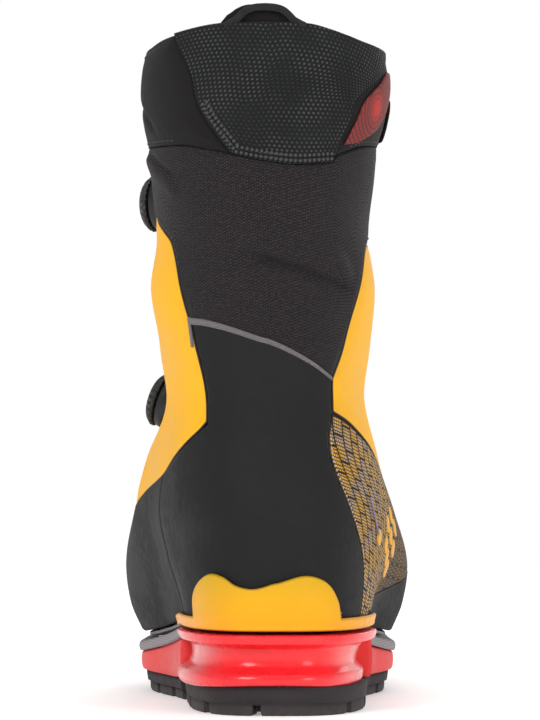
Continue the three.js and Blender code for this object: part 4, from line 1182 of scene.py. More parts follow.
def lug_run(outline, keep, depth):
    """The plan of a lug: a stretch of the outline and its inner edge, a depth towards the middle."""
    outer = outline[keep]
    ahead = np.gradient(outer, axis=0)
    inward = unit(np.stack([-ahead[:, 1], ahead[:, 0]], 1))
    return np.concatenate([outer, (outer + inward * depth)[::-1]])


def lug_block(x, y, wide, deep, turn):
    """The plan of a block with cut corners, turned by radians."""
    plan = np.array(BLOCK_CORNERS) * (wide / 2, deep / 2)
    c, n = math.cos(turn), math.sin(turn)
    return plan @ np.array([[c, n], [-n, c]]) + (x, y)


def lugs(name, plans, foot):
    """Lugs from their plans: each tapers to the ground over a worn, rounded edge. foot(y) is the ground."""
    points, faces, start = [], [], 0
    for plan in plans:
        middle = plan.mean(0)
        reach = np.abs(plan - middle).max(0)
        for draw, z in LUG_SECTION:
            flat = middle + (plan - middle) * (1 - draw / np.maximum(reach, 3))
            points.append(np.column_stack([flat, foot(flat[:, 1]) + z]))
        count, rings = len(plan), len(LUG_SECTION)
        faces += [row + start for row in quads(rings, count, wrap=True)]
        faces += [np.arange(count)[::-1] + start, np.arange(count) + (rings - 1) * count + start]
        start += rings * count
    return mesh_object(name, np.concatenate(points) * MM, faces, outward=True)


def heel_lugs():
    """Plans of the heel's lugs: six stretches of its edge, with pairs of turned blocks between them."""
    outline = sole_outline(-1.2, 420, heel_to=HEEL_TREAD_END_Y)
    x, y = outline.T
    rear = y < -22.5
    runs = [
        rear & (x < -11.1), rear & (x > -8.5),
        (x < 0) & (y > -17.5) & (y < 11.5), (x > 0) & (y > -17.5) & (y < 11.5),
        (x < 0) & (y > 16.5) & (y < 49), (x > 0) & (y > 16.5) & (y < 49),
    ]
    plans = [lug_run(outline, keep, 12.5) for keep in runs]
    plans += [lug_block(mx, my, 20, 11, turn) for mx, my, turn in (
        (-12, -6, 0.2), (13, -6, -0.2), (-12, 10, -0.2), (13, 10, 0.2), (-12, 28, 0.2), (13, 28, -0.2),
        (-10, 43, 0), (12, 43, 0))]
    return plans


def forefoot_lugs():
    """Plans of the forefoot's lugs: stretches of both edges, the toe, and leaning pairs of blocks between."""
    outline = sole_outline(-2.2, 700, toe_from=FORE_TREAD_START_Y)
    x, y = outline.T
    stops = [70, 92, 118, 144, 170, 196, 222, 246]
    plans = []
    for low, high in zip(stops[:-1], stops[1:]):
        for side in (x < 0, x > 3):
            plans.append(lug_run(outline, side & (y > low + 2.4) & (y < high - 2.4), 13))
    plans.append(lug_run(outline, y > 249, 12))
    for k, row in enumerate(np.arange(84, 245, 20.0)):
        middle = np.interp(row, [84, 140, 245], [-2, -3, 0])
        spread = np.interp(row, [84, 160, 245], [13, 17, 11])
        lean = 0.45 if k % 2 else -0.45
        plans += [lug_block(middle - spread, row, 17, 9, lean), lug_block(middle + spread, row, 17, 9, -lean)]
    return plans


class BOOT_OT_sole(bpy.types.Operator):
    """Builds the heel ledge, the midsole, the welts and the tread"""

    bl_idname = "boot.sole"
    bl_label = "Sole unit"

    def execute(self, context):
        finish_piece(loft("heel_ledge_moulded", heel_ledge_loops()), red_plastic(), nodes="heel_ledge",
                     slot="red_plastic")
        self.tread()
        self.front()
        return {"FINISHED"}

    @staticmethod
    def tread():
        """The heel's and the forefoot's tread: a base each, with lugs under it."""
        flat = [(-2.4, lambda x, y: 4.4), (-1.2, lambda x, y: 5.2), (-0.6, lambda x, y: 9.0),
                (-0.5, lambda x, y: HEEL_TREAD_TOP - 0.4 + ledge_arch(x, y)),
                (-1.0, lambda x, y: HEEL_TREAD_TOP + 0.4 + ledge_arch(x, y))]
        base = loft("heel_tread_base", sole_loops(flat, 200, heel_to=HEEL_TREAD_END_Y))
        finish_piece(base, tread_rubber(), nodes="heel_tread", slot="tread_rubber")
        blocks = lugs("heel_lugs", heel_lugs(), np.zeros_like)
        finish_piece(blocks, tread_rubber(), slot="tread_rubber")
        rise = [(-2.6, 4.4), (-1.0, 5.0), (-0.6, 7.5), (-0.4, TREAD_THICK)]
        levels = [(lift, lambda x, y, z=z: ground_at(y) + z) for lift, z in rise]
        base = loft("forefoot_tread_base", sole_loops(levels, 320, toe_from=FORE_TREAD_START_Y))
        finish_piece(base, tread_rubber(), nodes="forefoot_tread", slot="tread_rubber")
        blocks = lugs("forefoot_lugs", forefoot_lugs(), ground_at)
        finish_piece(blocks, tread_rubber(), slot="tread_rubber")

    @staticmethod
    def front():
        """In front of the heel block: the midsole, the welt board over it and the welt round the toe."""
        cut = SOLE_SPLIT_Y + 0.6

        def low(y):
            return mix(12, ground_at(y) + TREAD_THICK + 0.4, smooth((y - SOLE_SPLIT_Y) / 40))

        body = [(lift, lambda x, y, t=t: mix(low(y), feather_at(y) - 5.4, t)) for lift, t in MIDSOLE_SECTION]
        made = loft("midsole_moulded", sole_loops(body, 360, toe_from=cut))
        finish_piece(made, plastic("midsole_foam", tone("e83a38"), 0.5), nodes="midsole", slot="red_plastic")
        edge = [(lift, lambda x, y, d=d: feather_at(y) - d) for lift, d in WELT_SECTION]
        made = loft("welt_board_edge", sole_loops(edge, 360, toe_from=cut))
        finish_piece(made, grey_board(), nodes="welt_board", slot="grey_board")
        section, height = (through([(k, row[c]) for k, row in enumerate(TOE_WELT_SECTION)]) for c in (0, 1))
        root = TOE_WELT_SECTION[0][0]
        t = np.linspace(0, len(TOE_WELT_SECTION) - 1, 31)
        turn = np.linspace(TOE_WELT_FROM, TOE_WELT_TO, 113)
        away = unit(form_normal(turn, OUTLINE_LEVEL) * (1, 1, 0))
        fade = smooth(np.minimum(turn - TOE_WELT_FROM, TOE_WELT_TO - turn) / 4)
        out = root + (section(t)[None] - root) * mix(0.3, 1, fade)[:, None]
        points = form_point(turn, FEATHER)[:, None] + away[:, None] * (out * MM)[..., None]
        points[..., 2] = (feather_at(points[..., 1] / MM) + height(t)[None]) * MM
        finish_piece(loft("toe_welt_moulded", points), tread_rubber(), nodes="toe_welt", slot="tread_rubber")


# ---------- the heel cup ----------
CUP_FOOT, CUP_BAND = 36.0, 41.6
CUP_LOBES = [(-41, 42), (-39.4, 50), (-33, 57), (-26, 60.5), (-19, 59.4), (-13, 56), (-7, 54.6), (-3, 55.3),
             (2, 58.2), (8, 60), (14, 59), (19, 55.5), (22.4, 49), (24, 42)]


def cup_stops():
    """Places round the heel for the cup, close together where its lobes rise."""
    runs = [(-74, -45, 30), (-45, -34, 55), (-34, 18, 110), (18, 27, 55), (27, 66, 36)]
    return np.concatenate([np.linspace(*run, endpoint=False) for run in runs] + [[66.0]])


def cup_top(s):
    """Upper edge of the heel cup: a low band with two lobes."""
    in_lobes = (s > CUP_LOBES[0][0]) & (s < CUP_LOBES[-1][0])
    return np.where(in_lobes, through(CUP_LOBES)(s), CUP_BAND)


class BOOT_OT_heel_cup(bpy.types.Operator):
    """Builds the yellow heel cup with its two lobes"""

    bl_idname = "boot.heel_cup"
    bl_label = "Heel cup"

    def execute(self, context):
        share = np.linspace(0, 1, 41)[:, None]
        s = np.broadcast_to(cup_stops(), (len(share), len(cup_stops())))
        h = mix(CUP_FOOT, cup_top(s), share)
        sheet("heel_cup_moulded", [(s, h)], yellow_plastic(), "yellow_plastic", "heel_cup", lift=2.7, thick=2.0,
              roll=1.1)
        return {"FINISHED"}


# ---------- the upper; the seams are at the top of the file ----------
class BOOT_OT_rubber(bpy.types.Operator):
    """Builds the heel rubber, the rands and the toe cap"""

    bl_idname = "boot.rubber"
    bl_label = "Rubber"

    def execute(self, context):
        low = patch(level_run(SOLE_LINE, RAND_SPLIT, -30, 0, 30, 44.5),
                    [[(RAND_SPLIT, SPLIT_TOP), *RAND_TOP[4:7], HEEL_SHELF[0]], HEEL_SHELF],
                    upright(RAND_SPLIT, SOLE_LINE, SPLIT_TOP), [(44.5, SOLE_LINE), *RUBBER_FOOT_RIGHT[1:-1]],
                    160, 90)
        high = patch(HEEL_SHELF, TRIM, [HEEL_SHELF[0], *RUBBER_LEFT[1:]],
                     [HEEL_SHELF[-1], (35, 125.5), *RUBBER_RIGHT], 80, 60)
        sheet("heel_rubber_sheet", [low, high], rubber_sheet(), "rand_rubber", "heel_rubber", lift=0.2)
        cap_from, cap_low = CAP_TOP[0]
        side = patch(level_run(SOLE_LINE, -cap_from, -120, -90, RAND_SPLIT),
                     [(-cap_from, cap_low), (-140, 77), *RAND_TOP[:3], (RAND_SPLIT, SPLIT_TOP)],
                     upright(-cap_from, SOLE_LINE, cap_low), upright(RAND_SPLIT, SOLE_LINE, SPLIT_TOP), 110, 50)
        sheet("rand_lateral_sheet", [side], rubber_sheet(), "rand_rubber", "rand_lateral", lift=0.5)
        side = patch(level_run(SOLE_LINE, 62, 95, 120, cap_from),
                     [RAND_MEDIAL_TOP, [RAND_MEDIAL_TOP[-1], CAP_TOP[0]]],
                     [(62, SOLE_LINE), RAND_MEDIAL_TOP[0]], upright(cap_from, SOLE_LINE, cap_low), 110, 40)
        sheet("rand_medial_sheet", [side], rubber_sheet(), "rand_rubber", "rand_medial", lift=0.3)
        cap = patch(level_run(SOLE_LINE, cap_from, 180, 360 - cap_from), CAP_TOP,
                    upright(cap_from, SOLE_LINE, cap_low), upright(360 - cap_from, SOLE_LINE, cap_low), 110, 60)
        sheet("toe_cap_sheet", [cap], rubber_sheet(), "rand_rubber", "toe_cap", lift=0.7, roll=1.0,
              relief=self.ribs)
        return {"FINISHED"}

    @staticmethod
    def ribs(s, h, far):
        """Ribs round the lower part of the toe cap."""
        return 0.35 * smooth((far - 3) / 2) * smooth((66 - h) / 4) * (0.5 + 0.5 * np.cos(h * 1.1))


class BOOT_OT_yellow(bpy.types.Operator):
    """Builds the yellow side panels and the vamp"""

    bl_idname = "boot.yellow"
    bl_label = "Yellow panels"

    def execute(self, context):
        lateral = patch(RAND_TOP, FLANK_TOP_LEFT, upright(-FRONT_EDGE, 82.5, 209), RUBBER_LEFT, 90, 100)
        sheet("flank_lateral_cloth", [lateral], yellow_cloth(), "yellow_fabric", "flank_lateral", lift=0.3,
              relief=self.ease)
        medial = patch(SCALE_TOP, FLANK_TOP_RIGHT, RUBBER_RIGHT, upright(FRONT_EDGE, 88, 203), 90, 100)
        sheet("flank_medial_cloth", [medial], yellow_cloth(), "yellow_fabric", "flank_medial", lift=0.3,
              relief=self.ease)
        foot = [RAND_MEDIAL_TOP[-1], (135, 74), *CAP_TOP, (225, 78.5), (242, 82.5)]
        vamp = patch(foot, VAMP_TOP, upright(FRONT_EDGE, 70, 88), [foot[-1], VAMP_TOP[-1]], 160, 50)
        sheet("vamp_cloth", [vamp], yellow_cloth(), "yellow_fabric", "vamp", lift=0.1, relief=self.flex)
        return {"FINISHED"}

    @staticmethod
    def ease(s, h, far):
        """Slight fullness between the edges and long soft waves where the ankle bends."""
        wave = 0.35 * np.sin(h / 7.5 + s / 17) * np.exp(-(((h - 160) / 34) ** 2))
        return smooth(far / 7) * (0.5 + wave)

    @staticmethod
    def flex(s, h, far):
        """Creases across the vamp where the foot bends."""
        crease = -0.7 * np.exp(-(((h - 98 - 0.02 * (s - 180)) / 1.6) ** 2))
        crease -= 0.5 * np.exp(-(((h - 89) / 1.5) ** 2))
        return smooth(far / 6) * (0.6 + crease * np.exp(-(((s - 182) / 34) ** 2)))


class BOOT_OT_scales(bpy.types.Operator):
    """Builds the printed scale panel with its solid scales, its line and its teardrop"""

    bl_idname = "boot.scales"
    bl_label = "Scale panel"

    def execute(self, context):
        panel = patch([[(44.5, 39), (53, 39), (62, 42)], RAND_MEDIAL_TOP], SCALE_TOP,
                      [(44.5, 39), *RUBBER_FOOT_RIGHT[1:]], upright(FRONT_EDGE, 70, 88), 160, 80)
        sheet("scale_panel_knit", [panel], scale_knit(), "scale_knit", "scale_panel", lift=0.1)
        self.solid_scales()
        self.line()
        return {"FINISHED"}

    @staticmethod
    def raised(name, rows, lift=0.55, thick=0.5):
        """A small raised shape filled between a left and a right edge: rows of (left, right, level)."""
        left, right = ([(row[k], row[2]) for row in rows] for k in (0, 1))
        shape = patch([left[0], right[0]], [left[-1], right[-1]], left, right, 8, 24)
        sheet(name, [shape], yellow_print(), "scale_knit", lift=lift, thick=thick, roll=0.5)

    def solid_scales(self):
        """Solid scales where the pattern ends: slanted, in three columns that step down towards the front."""
        middles = [(70.5, 80), (70, 71), (76, 84), (75, 75), (74, 66), (80.5, 79), (79.5, 70), (78, 61.5)]
        slant = [(0.4, 1.8, -3.8), (-1.4, 1.8, -1.6), (-1.8, 1.4, 1.6), (-1.8, -0.4, 3.8)]
        for k, (s, h) in enumerate(middles):
            self.raised(f"solid_scale_{k + 1}", [(s + left, s + right, h + up) for left, right, up in slant])

    def line(self):
        """The thin line in front of the heel rubber, with a drop at its foot."""
        path = on_form(*through_both([(51.5, 92), (52.5, 86), (54.5, 80), (57.5, 75.5)], 60), 0.75)
        finish_piece(tube("scale_line", path, 0.4, 8), lilac_print(), slot="scale_knit")
        drop = [(58.2, 58.8, 70.6), (57.2, 60.4, 71.8), (56.8, 61.0, 74.0), (57.0, 60.4, 76.2),
                (57.6, 59.0, 77.8)]
        self.raised("scale_drop", drop, lift=0.9, thick=0.9)


class BOOT_OT_gaiter(bpy.types.Operator):
    """Builds the woven gaiter round the shaft and its grey trim"""

    bl_idname = "boot.gaiter"
    bl_label = "Gaiter"

    def execute(self, context):
        rear = patch([FLANK_TOP_LEFT, TRIM, FLANK_TOP_RIGHT],
                     [level_run(CUFF_FOOT, -FRONT_EDGE, -39), [(-39, CUFF_FOOT), *YOKE_FOOT, (38, 239)],
                      [(38, 239), (60, CUFF_FOOT), (FRONT_EDGE, CUFF_FOOT)]],
                     upright(-FRONT_EDGE, 209, CUFF_FOOT), upright(FRONT_EDGE, 203, CUFF_FOOT), 260, 120)
        sheet("gaiter_rear_cloth", [rear], black_twill(), "black_fabric", "gaiter_rear", lift=0.2,
              relief=self.folds)
        side = patch([VAMP_TOP[0], (129, 98), VAMP_TOP[1]], level_run(CUFF_FOOT, FRONT_EDGE, ZIP_S),
                     upright(FRONT_EDGE, 88, CUFF_FOOT), upright(ZIP_S, 107, CUFF_FOOT), 30, 120)
        sheet("gaiter_side_cloth", [side], black_twill(), "black_fabric", "gaiter_front_medial", lift=0.2,
              relief=self.ruck)
        front = patch(VAMP_TOP[1:], level_run(CUFF_FOOT, ZIP_S, 242), upright(ZIP_S, 107, CUFF_FOOT),
                      upright(242, 100, CUFF_FOOT), 110, 130)
        sheet("gaiter_front_cloth", [front], black_twill(), "black_fabric", "gaiter_front", lift=0.2,
              relief=self.ruck)
        s, h = through_both(TRIM, 120)
        level = np.linspace(-1.7, 1.3, 7)[:, None] * np.linspace(1, 0.55, len(s))
        sheet("edge_trim_tape", [(np.broadcast_to(s, level.shape), h + level)], rough_trim(), "grey_trim",
              "edge_trim", lift=0.9, thick=1.0, roll=0.5, relief=self.fray)
        leg = patch([(-40.6, 157), (-38.4, 157)], [(-40.4, 170), (-38.2, 170)], upright(-40.5, 157, 170),
                    upright(-38.3, 157, 170), 6, 24)
        sheet("edge_trim_leg", [leg], rough_trim(), "grey_trim", lift=0.9, thick=0.9, roll=0.4)
        return {"FINISHED"}

    @staticmethod
    def fray(s, h, far):
        """Fine unevenness of the cut tape: two sines that run across each other."""
        return 0.18 * np.sin(s * 9.1) * np.sin(s * 4.3 + h)

    @staticmethod
    def folds(s, h, far):
        """A crease that falls to the medial side with fullness over it, and a short one by the lateral cuff."""
        crease = 195.3 - 0.27 * (s + 2.6)
        reach = smooth((s + 12) / 14) * smooth((52 - s) / 16)
        above = 3.2 * np.exp(-(((h - crease - 8) / 7) ** 2)) - 3.0 * np.exp(-(((h - crease) / 2.2) ** 2))
        second = 243 - 0.37 * (s + 80)
        near = smooth((s + 92) / 14) * smooth((-42 - s) / 10)
        under = 1.6 * np.exp(-(((h - second + 5) / 5) ** 2)) - 1.3 * np.exp(-(((h - second) / 1.5) ** 2))
        soft = 0.45 * np.sin(h / 9 + s / 11) + 0.3 * np.sin(h / 5.3 - s / 23)
        return smooth(far / 5) * (0.7 + above * reach + under * near + soft * 0.6)

    @staticmethod
    def ruck(s, h, far):
        """Shallow creases across the front of the shaft."""
        wave = 0.5 * np.sin(h / 6.2 + 0.02 * s) * np.exp(-(((h - 150) / 40) ** 2))
        return smooth(far / 6) * (0.6 + wave)


# ---------- padding ----------
def points_of(mesh):
    """The points of a mesh, as rows of three."""
    flat = np.empty(len(mesh.vertices) * 3)
    mesh.vertices.foreach_get("co", flat)
    return flat.reshape(-1, 3)


def nudge(mesh, rest, shift, reach):
    """Moves the points of a mesh from rest by a shift, none of them further than reach metres."""
    share = np.minimum(1, reach / np.maximum(np.linalg.norm(shift, axis=1, keepdims=True), 1e-9))
    mesh.vertices.foreach_set("co", (rest + shift * share).ravel())
    mesh.update()


def puffed(name, node, voxel=0.005, pressure=4.0, reach=0.0018):
    """A padded piece from a CAD node: its shape remeshed evenly, blown up by a short cloth simulation in which
    no point moves further than reach metres, then smoothed by one subdivision."""
    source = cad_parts[node]
    mesh = source.data.copy()
    mesh.transform(source.matrix_world)
    mesh.materials.clear()
    mend(mesh, 1e-6)
    made = linked(name, mesh)
    remesh = made.modifiers.new("even", "REMESH")
    remesh.mode, remesh.voxel_size = "VOXEL", voxel
    even = bpy.data.meshes.new_from_object(made.evaluated_get(bpy.context.evaluated_depsgraph_get()))
    made.modifiers.clear()
    made.data = even
    rest = points_of(even)
    nudge(even, rest, blown(made, pressure) - rest, reach)
    even.shade_smooth()
    finer = made.modifiers.new("finer", "SUBSURF")
    finer.levels = finer.render_levels = 1
    return made


def swell(piece, pressure=3.0, reach=0.0007, held=0.0022):
    """Padding under a sheet: a short cloth simulation blows it out between its edges, which are held fast, and
    no point moves further than reach metres."""
    mesh = piece.data
    rim, rest = np.empty(len(mesh.vertices)), points_of(mesh)
    mesh.attributes["rim"].data.foreach_get("value", rim)
    piece.vertex_groups.new(name="held").add(np.flatnonzero(rim < held).tolist(), 1.0, "REPLACE")
    piece.modifiers["wall"].show_viewport = False
    shift = blown(piece, pressure, held="held") - rest
    piece.modifiers["wall"].show_viewport = True
    nudge(mesh, rest, shift, reach)


def blown(piece, pressure, frames=20, held=""):
    """Where the points of a piece are after a cloth simulation with inner pressure and no gravity."""
    cloth = piece.modifiers.new("blow", "CLOTH")
    cloth.settings.vertex_group_mass = held
    cloth.settings.use_pressure = True
    cloth.settings.uniform_pressure_force = pressure
    cloth.settings.effector_weights.gravity = 0
    cloth.point_cache.frame_start, cloth.point_cache.frame_end = 1, frames
    scene = bpy.context.scene
    for step in range(1, frames + 1):
        scene.frame_set(step)
    places = points_of(piece.evaluated_get(bpy.context.evaluated_depsgraph_get()).data)
    piece.modifiers.remove(cloth)
    scene.frame_set(1)
    return places


# ---------- the cuff ----------
class BOOT_OT_cuff(bpy.types.Operator):
    """Builds the dotted yoke, the padded cuff sides and the red print"""

    bl_idname = "boot.cuff"
    bl_label = "Cuff"

    def execute(self, context):
        yoke = patch(YOKE_FOOT, YOKE_TOP, YOKE_LEFT, YOKE_RIGHT, 170, 90)
        sheet("rear_yoke_cloth", [yoke], dotted_cloth(), "cuff_fabric", "rear_yoke", lift=1.3, relief=self.dome)
        lateral = patch([level_run(CUFF_FOOT, CUFF_SEAM, -130, -39), [(-39, CUFF_FOOT), YOKE_FOOT[0]]],
                        [level_run(CUFF_RIM, CUFF_SEAM, -120),
                         [(-120, CUFF_RIM), (-75, 286.5), (-58, 289.5), YOKE_TOP[0]]],
                        upright(CUFF_SEAM, CUFF_FOOT, CUFF_RIM), YOKE_LEFT, 240, 70)
        self.pad("cuff_lateral", lateral, 0.7, thick=2.2, roll=1.6, relief=self.pad_lateral)
        medial = patch([YOKE_FOOT[-1], (38, 239), *level_run(CUFF_FOOT, 60, 100, ZIP_S)],
                       [YOKE_TOP[-1], (ZIP_S, CUFF_RIM)], YOKE_RIGHT, upright(ZIP_S, CUFF_FOOT, CUFF_RIM),
                       160, 70)
        self.pad("cuff_medial", medial, 0.6, thick=2.0, roll=1.4, relief=self.pad_medial)
        self.edging()
        lens = patch([(40, 243.5), (46, 244), (50, 244.5)], [(70, 273), (80, 276), (90, 274)],
                     [(40, 243.5), (46, 254), (51, 263), (70, 273)],
                     [(50, 244.5), (70, 252), (82, 262), (90, 274)], 70, 70)
        sheet("cuff_badge_print", [lens], red_print(), "red_print", "cuff_badge", lift=1.7, thick=1.4, roll=0.8)
        return {"FINISHED"}

    @staticmethod
    def pad(node, side, fill, **shape):
        """A padded side of the cuff, blown out between its seams."""
        piece = skin(f"{node}_pad", [side], lift=0.2, **shape)
        swell(piece)
        finish_piece(piece, padded_cloth(), nodes=node, slot="cuff_fabric")

    @staticmethod
    def dome(s, h, far):
        """A slight dome over the whole yoke."""
        return 0.5 * smooth(far / 14)

    @staticmethod
    def pad_lateral(s, h, far):
        """Foam fullness, with the diagonal fold that starts at a notch in the outline."""
        fold = 263 - 0.42 * (s + 92)
        dent = -1.9 * np.exp(-(((h - fold) / 2.2) ** 2)) * smooth((s + 118) / 14) * smooth((-58 - s) / 14)
        full = 0.8 + 0.3 * np.sin(h / 6 + s / 19)
        return smooth(far / 9) * full + dent * smooth(far / 4)

    @staticmethod
    def pad_medial(s, h, far):
        """Foam fullness with soft waves."""
        return smooth(far / 9) * (0.5 + 0.25 * np.sin(h / 7 - s / 21))

    @staticmethod
    def edging():
        """A double row of larger dots along the yoke's lateral and lower edges."""
        side = [(s + 1.2, h) for s, h in YOKE_LEFT[2::-1]]
        for k, inset in enumerate((1.5, 3.7)):
            for edge, line, size in (("side", side, 0.85), ("foot", YOKE_FOOT, 0.8)):
                beads = seam_beads(f"yoke_{edge}_dots_{k + 1}", line, 2.1, inset, 1.5, bead(size, size, 0.5),
                                   (0.02, 0.98))
                finish_piece(beads, dot_print(), slot="cuff_fabric")


class BOOT_OT_inner(bpy.types.Operator):
    """Builds the inner boot: liner, soles, collar, tongue, a guessed heel tab whose dark cloth is painted shade
    behind the pull loop, and the felt shell's finish
    """

    bl_idname = "boot.inner"
    bl_label = "Inner boot"

    def execute(self, context):
        for name, low, high, rows in (("liner_foot", 42, 152, 50), ("liner_shaft", 152, 281, 56)):
            halves = [np.meshgrid(np.linspace(a, a + 180, 91), np.linspace(low, high, rows)) for a in (-180, 0)]
            piece = skin(f"{name}_pad", halves, lift=-7.2, thick=3.9, roll=1.6)
            finish_piece(piece, lining_foam(), nodes=(f"{name}_lateral", f"{name}_medial"), slot="liner_foam")
        for name, lift, low, high in (("liner_sole", -7.0, 3.6, 5.6), ("footbed", -12.0, 6.1, 9.6)):
            levels = [(lift - edge, lambda x, y, t=t: feather_at(y) + mix(low, high, t)) for edge, t in (
                (1.0, 0.0), (0.3, 0.12), (0.0, 0.35), (0.0, 0.65), (0.3, 0.88), (1.0, 1.0))]
            piece = loft(f"{name}_foam", sole_loops(levels, 220))
            finish_piece(piece, lining_foam(), nodes=name, slot="liner_foam")
        for node in ("liner_collar", "liner_tongue"):
            piece = puffed(f"{node}_pad", node)
            finish_piece(piece, lining_foam(), nodes=node, slot="liner_foam")
        for node in ("shell_foot_lateral", "shell_foot_medial", "shell_shaft_lateral", "shell_shaft_medial"):
            dress(node, pressed_felt())
        dress("stiffening_plate", composite_plate())
        dress("insole_board", grey_board())
        self.shade_filling_tab()
        return {"FINISHED"}

    @staticmethod
    def shade_filling_tab():
        """A webbing tab, a guessed part, that stands up inside the heel of the collar. Its dark cloth is
        painted shade: it fills the gap behind the pull loop, where the collar's shade falls.
        """
        tab = patch([(-27, 284), (20, 284)], [(-18, 299), (-6, 302.8), (9, 299.5)],
                    [(-27, 284), (-24, 292), (-18, 299)], [(20, 284), (16, 292), (9, 299.5)], 60, 50)
        # painted shade: this dark tab stands in for the shade seen through the pull loop
        sheet("tab_webbing_as_shade", [tab], padded_cloth(), "cuff_fabric", lift=-2.3, roll=0.6)


# ---------- dials; profiles are (radius, height) in millimetres over the dial's seat ----------
DIAL_SEATS = {"lower": (-121, 140, 4.6), "upper": (-122, 222, 2.2)}
GUIDE_PLACES = {"lower": (-208, 115), "upper": (-176, 224)}
GUIDE_REACH = 5.6
LACE_RUNS = {  # the seam out to the guide, and the one back
    "lower": ([(-138, 139), (-152, 135), (-172, 128), (-192, 122)],
              [(-192, 110), (-172, 113), (-150, 121), (-136, 129)]),
    "upper": ([(-138, 226), (-152, 228)], [(-152, 219), (-138, 218)]),
}
CORE_PROFILE = [(0, 1.2), (2.2, 1.2), (2.2, 7.9), (4.6, 7.9), (5.0, 8.3), (5.0, 9.0), (4.7, 9.3), (0, 9.3)]
KNOB_PROFILE = [(2.6, 4.7), (11.7, 4.7), (12.2, 5.1), (12.4, 6.3), (11.4, 7.5), (10.6, 8.3), (9.6, 9.0),
                (8.2, 9.5), (5.7, 9.5), (5.4, 9.2), (5.4, 7.5), (2.6, 7.5), (2.6, 4.7)]
SPOOL_PROFILE = [(2.6, 1.2), (8.8, 1.2), (6.8, 2.2), (8.8, 3.2), (2.6, 3.2), (2.6, 1.2)]
GUIDE_PROFILE = [(0, 0.5), (2.6, 0.5), (2.6, 3.1), (6.4, 3.1), (6.6, 3.4), (6.2, 4.1), (3, 4.4), (0, 4.4)]


class BOOT_OT_dials(bpy.types.Operator):
    """Builds the two lace dials, their guides and the wire laces"""

    bl_idname = "boot.dials"
    bl_label = "Dials and laces"

    def execute(self, context):
        for side, (s, h, rise) in DIAL_SEATS.items():
            place = seat(s, h, rise)
            base = self.base(f"{side}_dial_saddle", s, h, place)
            finish_piece(base, black_plastic(), nodes=f"{side}_dial_base", slot="black_plastic")
            core = turned(f"{side}_dial_post", CORE_PROFILE, place, sides=48)
            finish_piece(core, brushed_steel(), f"{side}_core", f"{side}_dial_core", "steel")
            knob = turned(f"{side}_dial_grip", KNOB_PROFILE, place, sides=192, waves=24, depth=0.7,
                          wave_from=9.2)
            finish_piece(knob, black_plastic(), f"{side}_knob", f"{side}_dial_knob", "black_plastic")
            spool = turned(f"{side}_dial_drum", SPOOL_PROFILE, place, sides=48)
            finish_piece(spool, black_plastic(), f"{side}_spool", f"{side}_dial_spool", "black_plastic")
            guide = turned(f"{side}_lace_post", GUIDE_PROFILE, seat(*GUIDE_PLACES[side], 0), sides=40)
            finish_piece(guide, black_plastic(), nodes=f"{side}_lace_guide", slot="black_plastic")
            self.lace(side)
        return {"FINISHED"}

    @staticmethod
    def base(name, s, h, place):
        """A saddle that fits the upper below and carries a round well above."""
        angle = np.linspace(0, 2 * np.pi, 72, endpoint=False)
        ring = np.stack([np.cos(angle), np.sin(angle)], 1)

        def low(radius, lift):
            return on_form(*beside(s, h, *(ring * radius).T), lift)

        def high(radius, z):
            return placed(np.column_stack([ring * radius, np.full(len(ring), z)]), place)

        return loft(name, np.array([
            low(0.5, 1.5), low(8.5, 1.5), low(12.3, 1.5), low(12.8, 1.7), low(12.9, 2.1), high(12.4, 0),
            high(12.0, 2), high(11.7, 3.6), high(11.4, 4.05), high(11.0, 4.2), high(9.6, 4.2), high(9.3, 4.0),
            high(9.2, 3.7), high(9.2, 0.9), high(9.0, 0.8), high(0.5, 0.8)]))

    @staticmethod
    def lace(side):
        """The wire from the dial, half round the guide and back, that lies on the upper."""
        out, back = LACE_RUNS[side]
        turn = np.radians([-90, -45, 0, 45, 90])
        steps = [(-GUIDE_REACH * math.cos(a), -GUIDE_REACH * math.sin(a)) for a in turn]
        loop = [tuple(map(float, beside(*GUIDE_PLACES[side], *step))) for step in steps]
        s, h = through_both([*out, *loop, *back], 160)
        piece = tube(f"{side}_lace_wire", on_form(s, h, 1.7), 0.7, 12)
        finish_piece(piece, lace_wire(), nodes=f"{side}_lace", slot="lace_steel")


# ---------- zip ----------
ZIP_LOW, ZIP_HIGH, TAPE_WIDE = 170, 240, 9.0
SLIDER_LONG, HINGE_Y, HINGE_Z = 9.0, -3.2, 5.2


def zip_place():
    """The zip's own place (across, up, out), its foot on the form and its length in millimetres."""
    foot, head = on_form(ZIP_S, ZIP_LOW), on_form(ZIP_S, ZIP_HIGH)
    long = np.linalg.norm(head - foot)
    up = (head - foot) / long
    out = form_normal(ZIP_S, (ZIP_LOW + ZIP_HIGH) / 2)
    out = unit(out - up * (out @ up))
    bulge = (on_form(ZIP_S, np.linspace(ZIP_LOW, ZIP_HIGH, 15)) - foot) @ out
    return frame_of(up, out, foot + out * (bulge.max() + 1.7 * MM)), foot, long / MM


def prism(name, outline, tall, place, edge=0.25):
    """An outline (x, y) millimetres, with any holes after it, raised along the place's Z and bevelled."""
    curve = bpy.data.curves.new(name, "CURVE")
    curve.dimensions, curve.fill_mode = "2D", "BOTH"
    curve.extrude = tall / 2 * MM - edge * MM
    curve.bevel_depth, curve.bevel_resolution = edge * MM, 2
    curve.offset = -edge * MM
    for loop in outline:
        line = curve.splines.new("POLY")
        line.points.add(len(loop) - 1)
        corners = np.column_stack([np.asarray(loop, float) * MM, np.zeros((len(loop), 2))])
        line.points.foreach_set("co", corners.ravel())
        line.use_cyclic_u = True
    draft = bpy.data.objects.new(name, curve)
    mesh = bpy.data.meshes.new_from_object(draft)
    bpy.data.objects.remove(draft)
    mesh.transform(Matrix(place.tolist()))
    mend(mesh, 1e-6, outward=True)
    return linked(name, mesh)


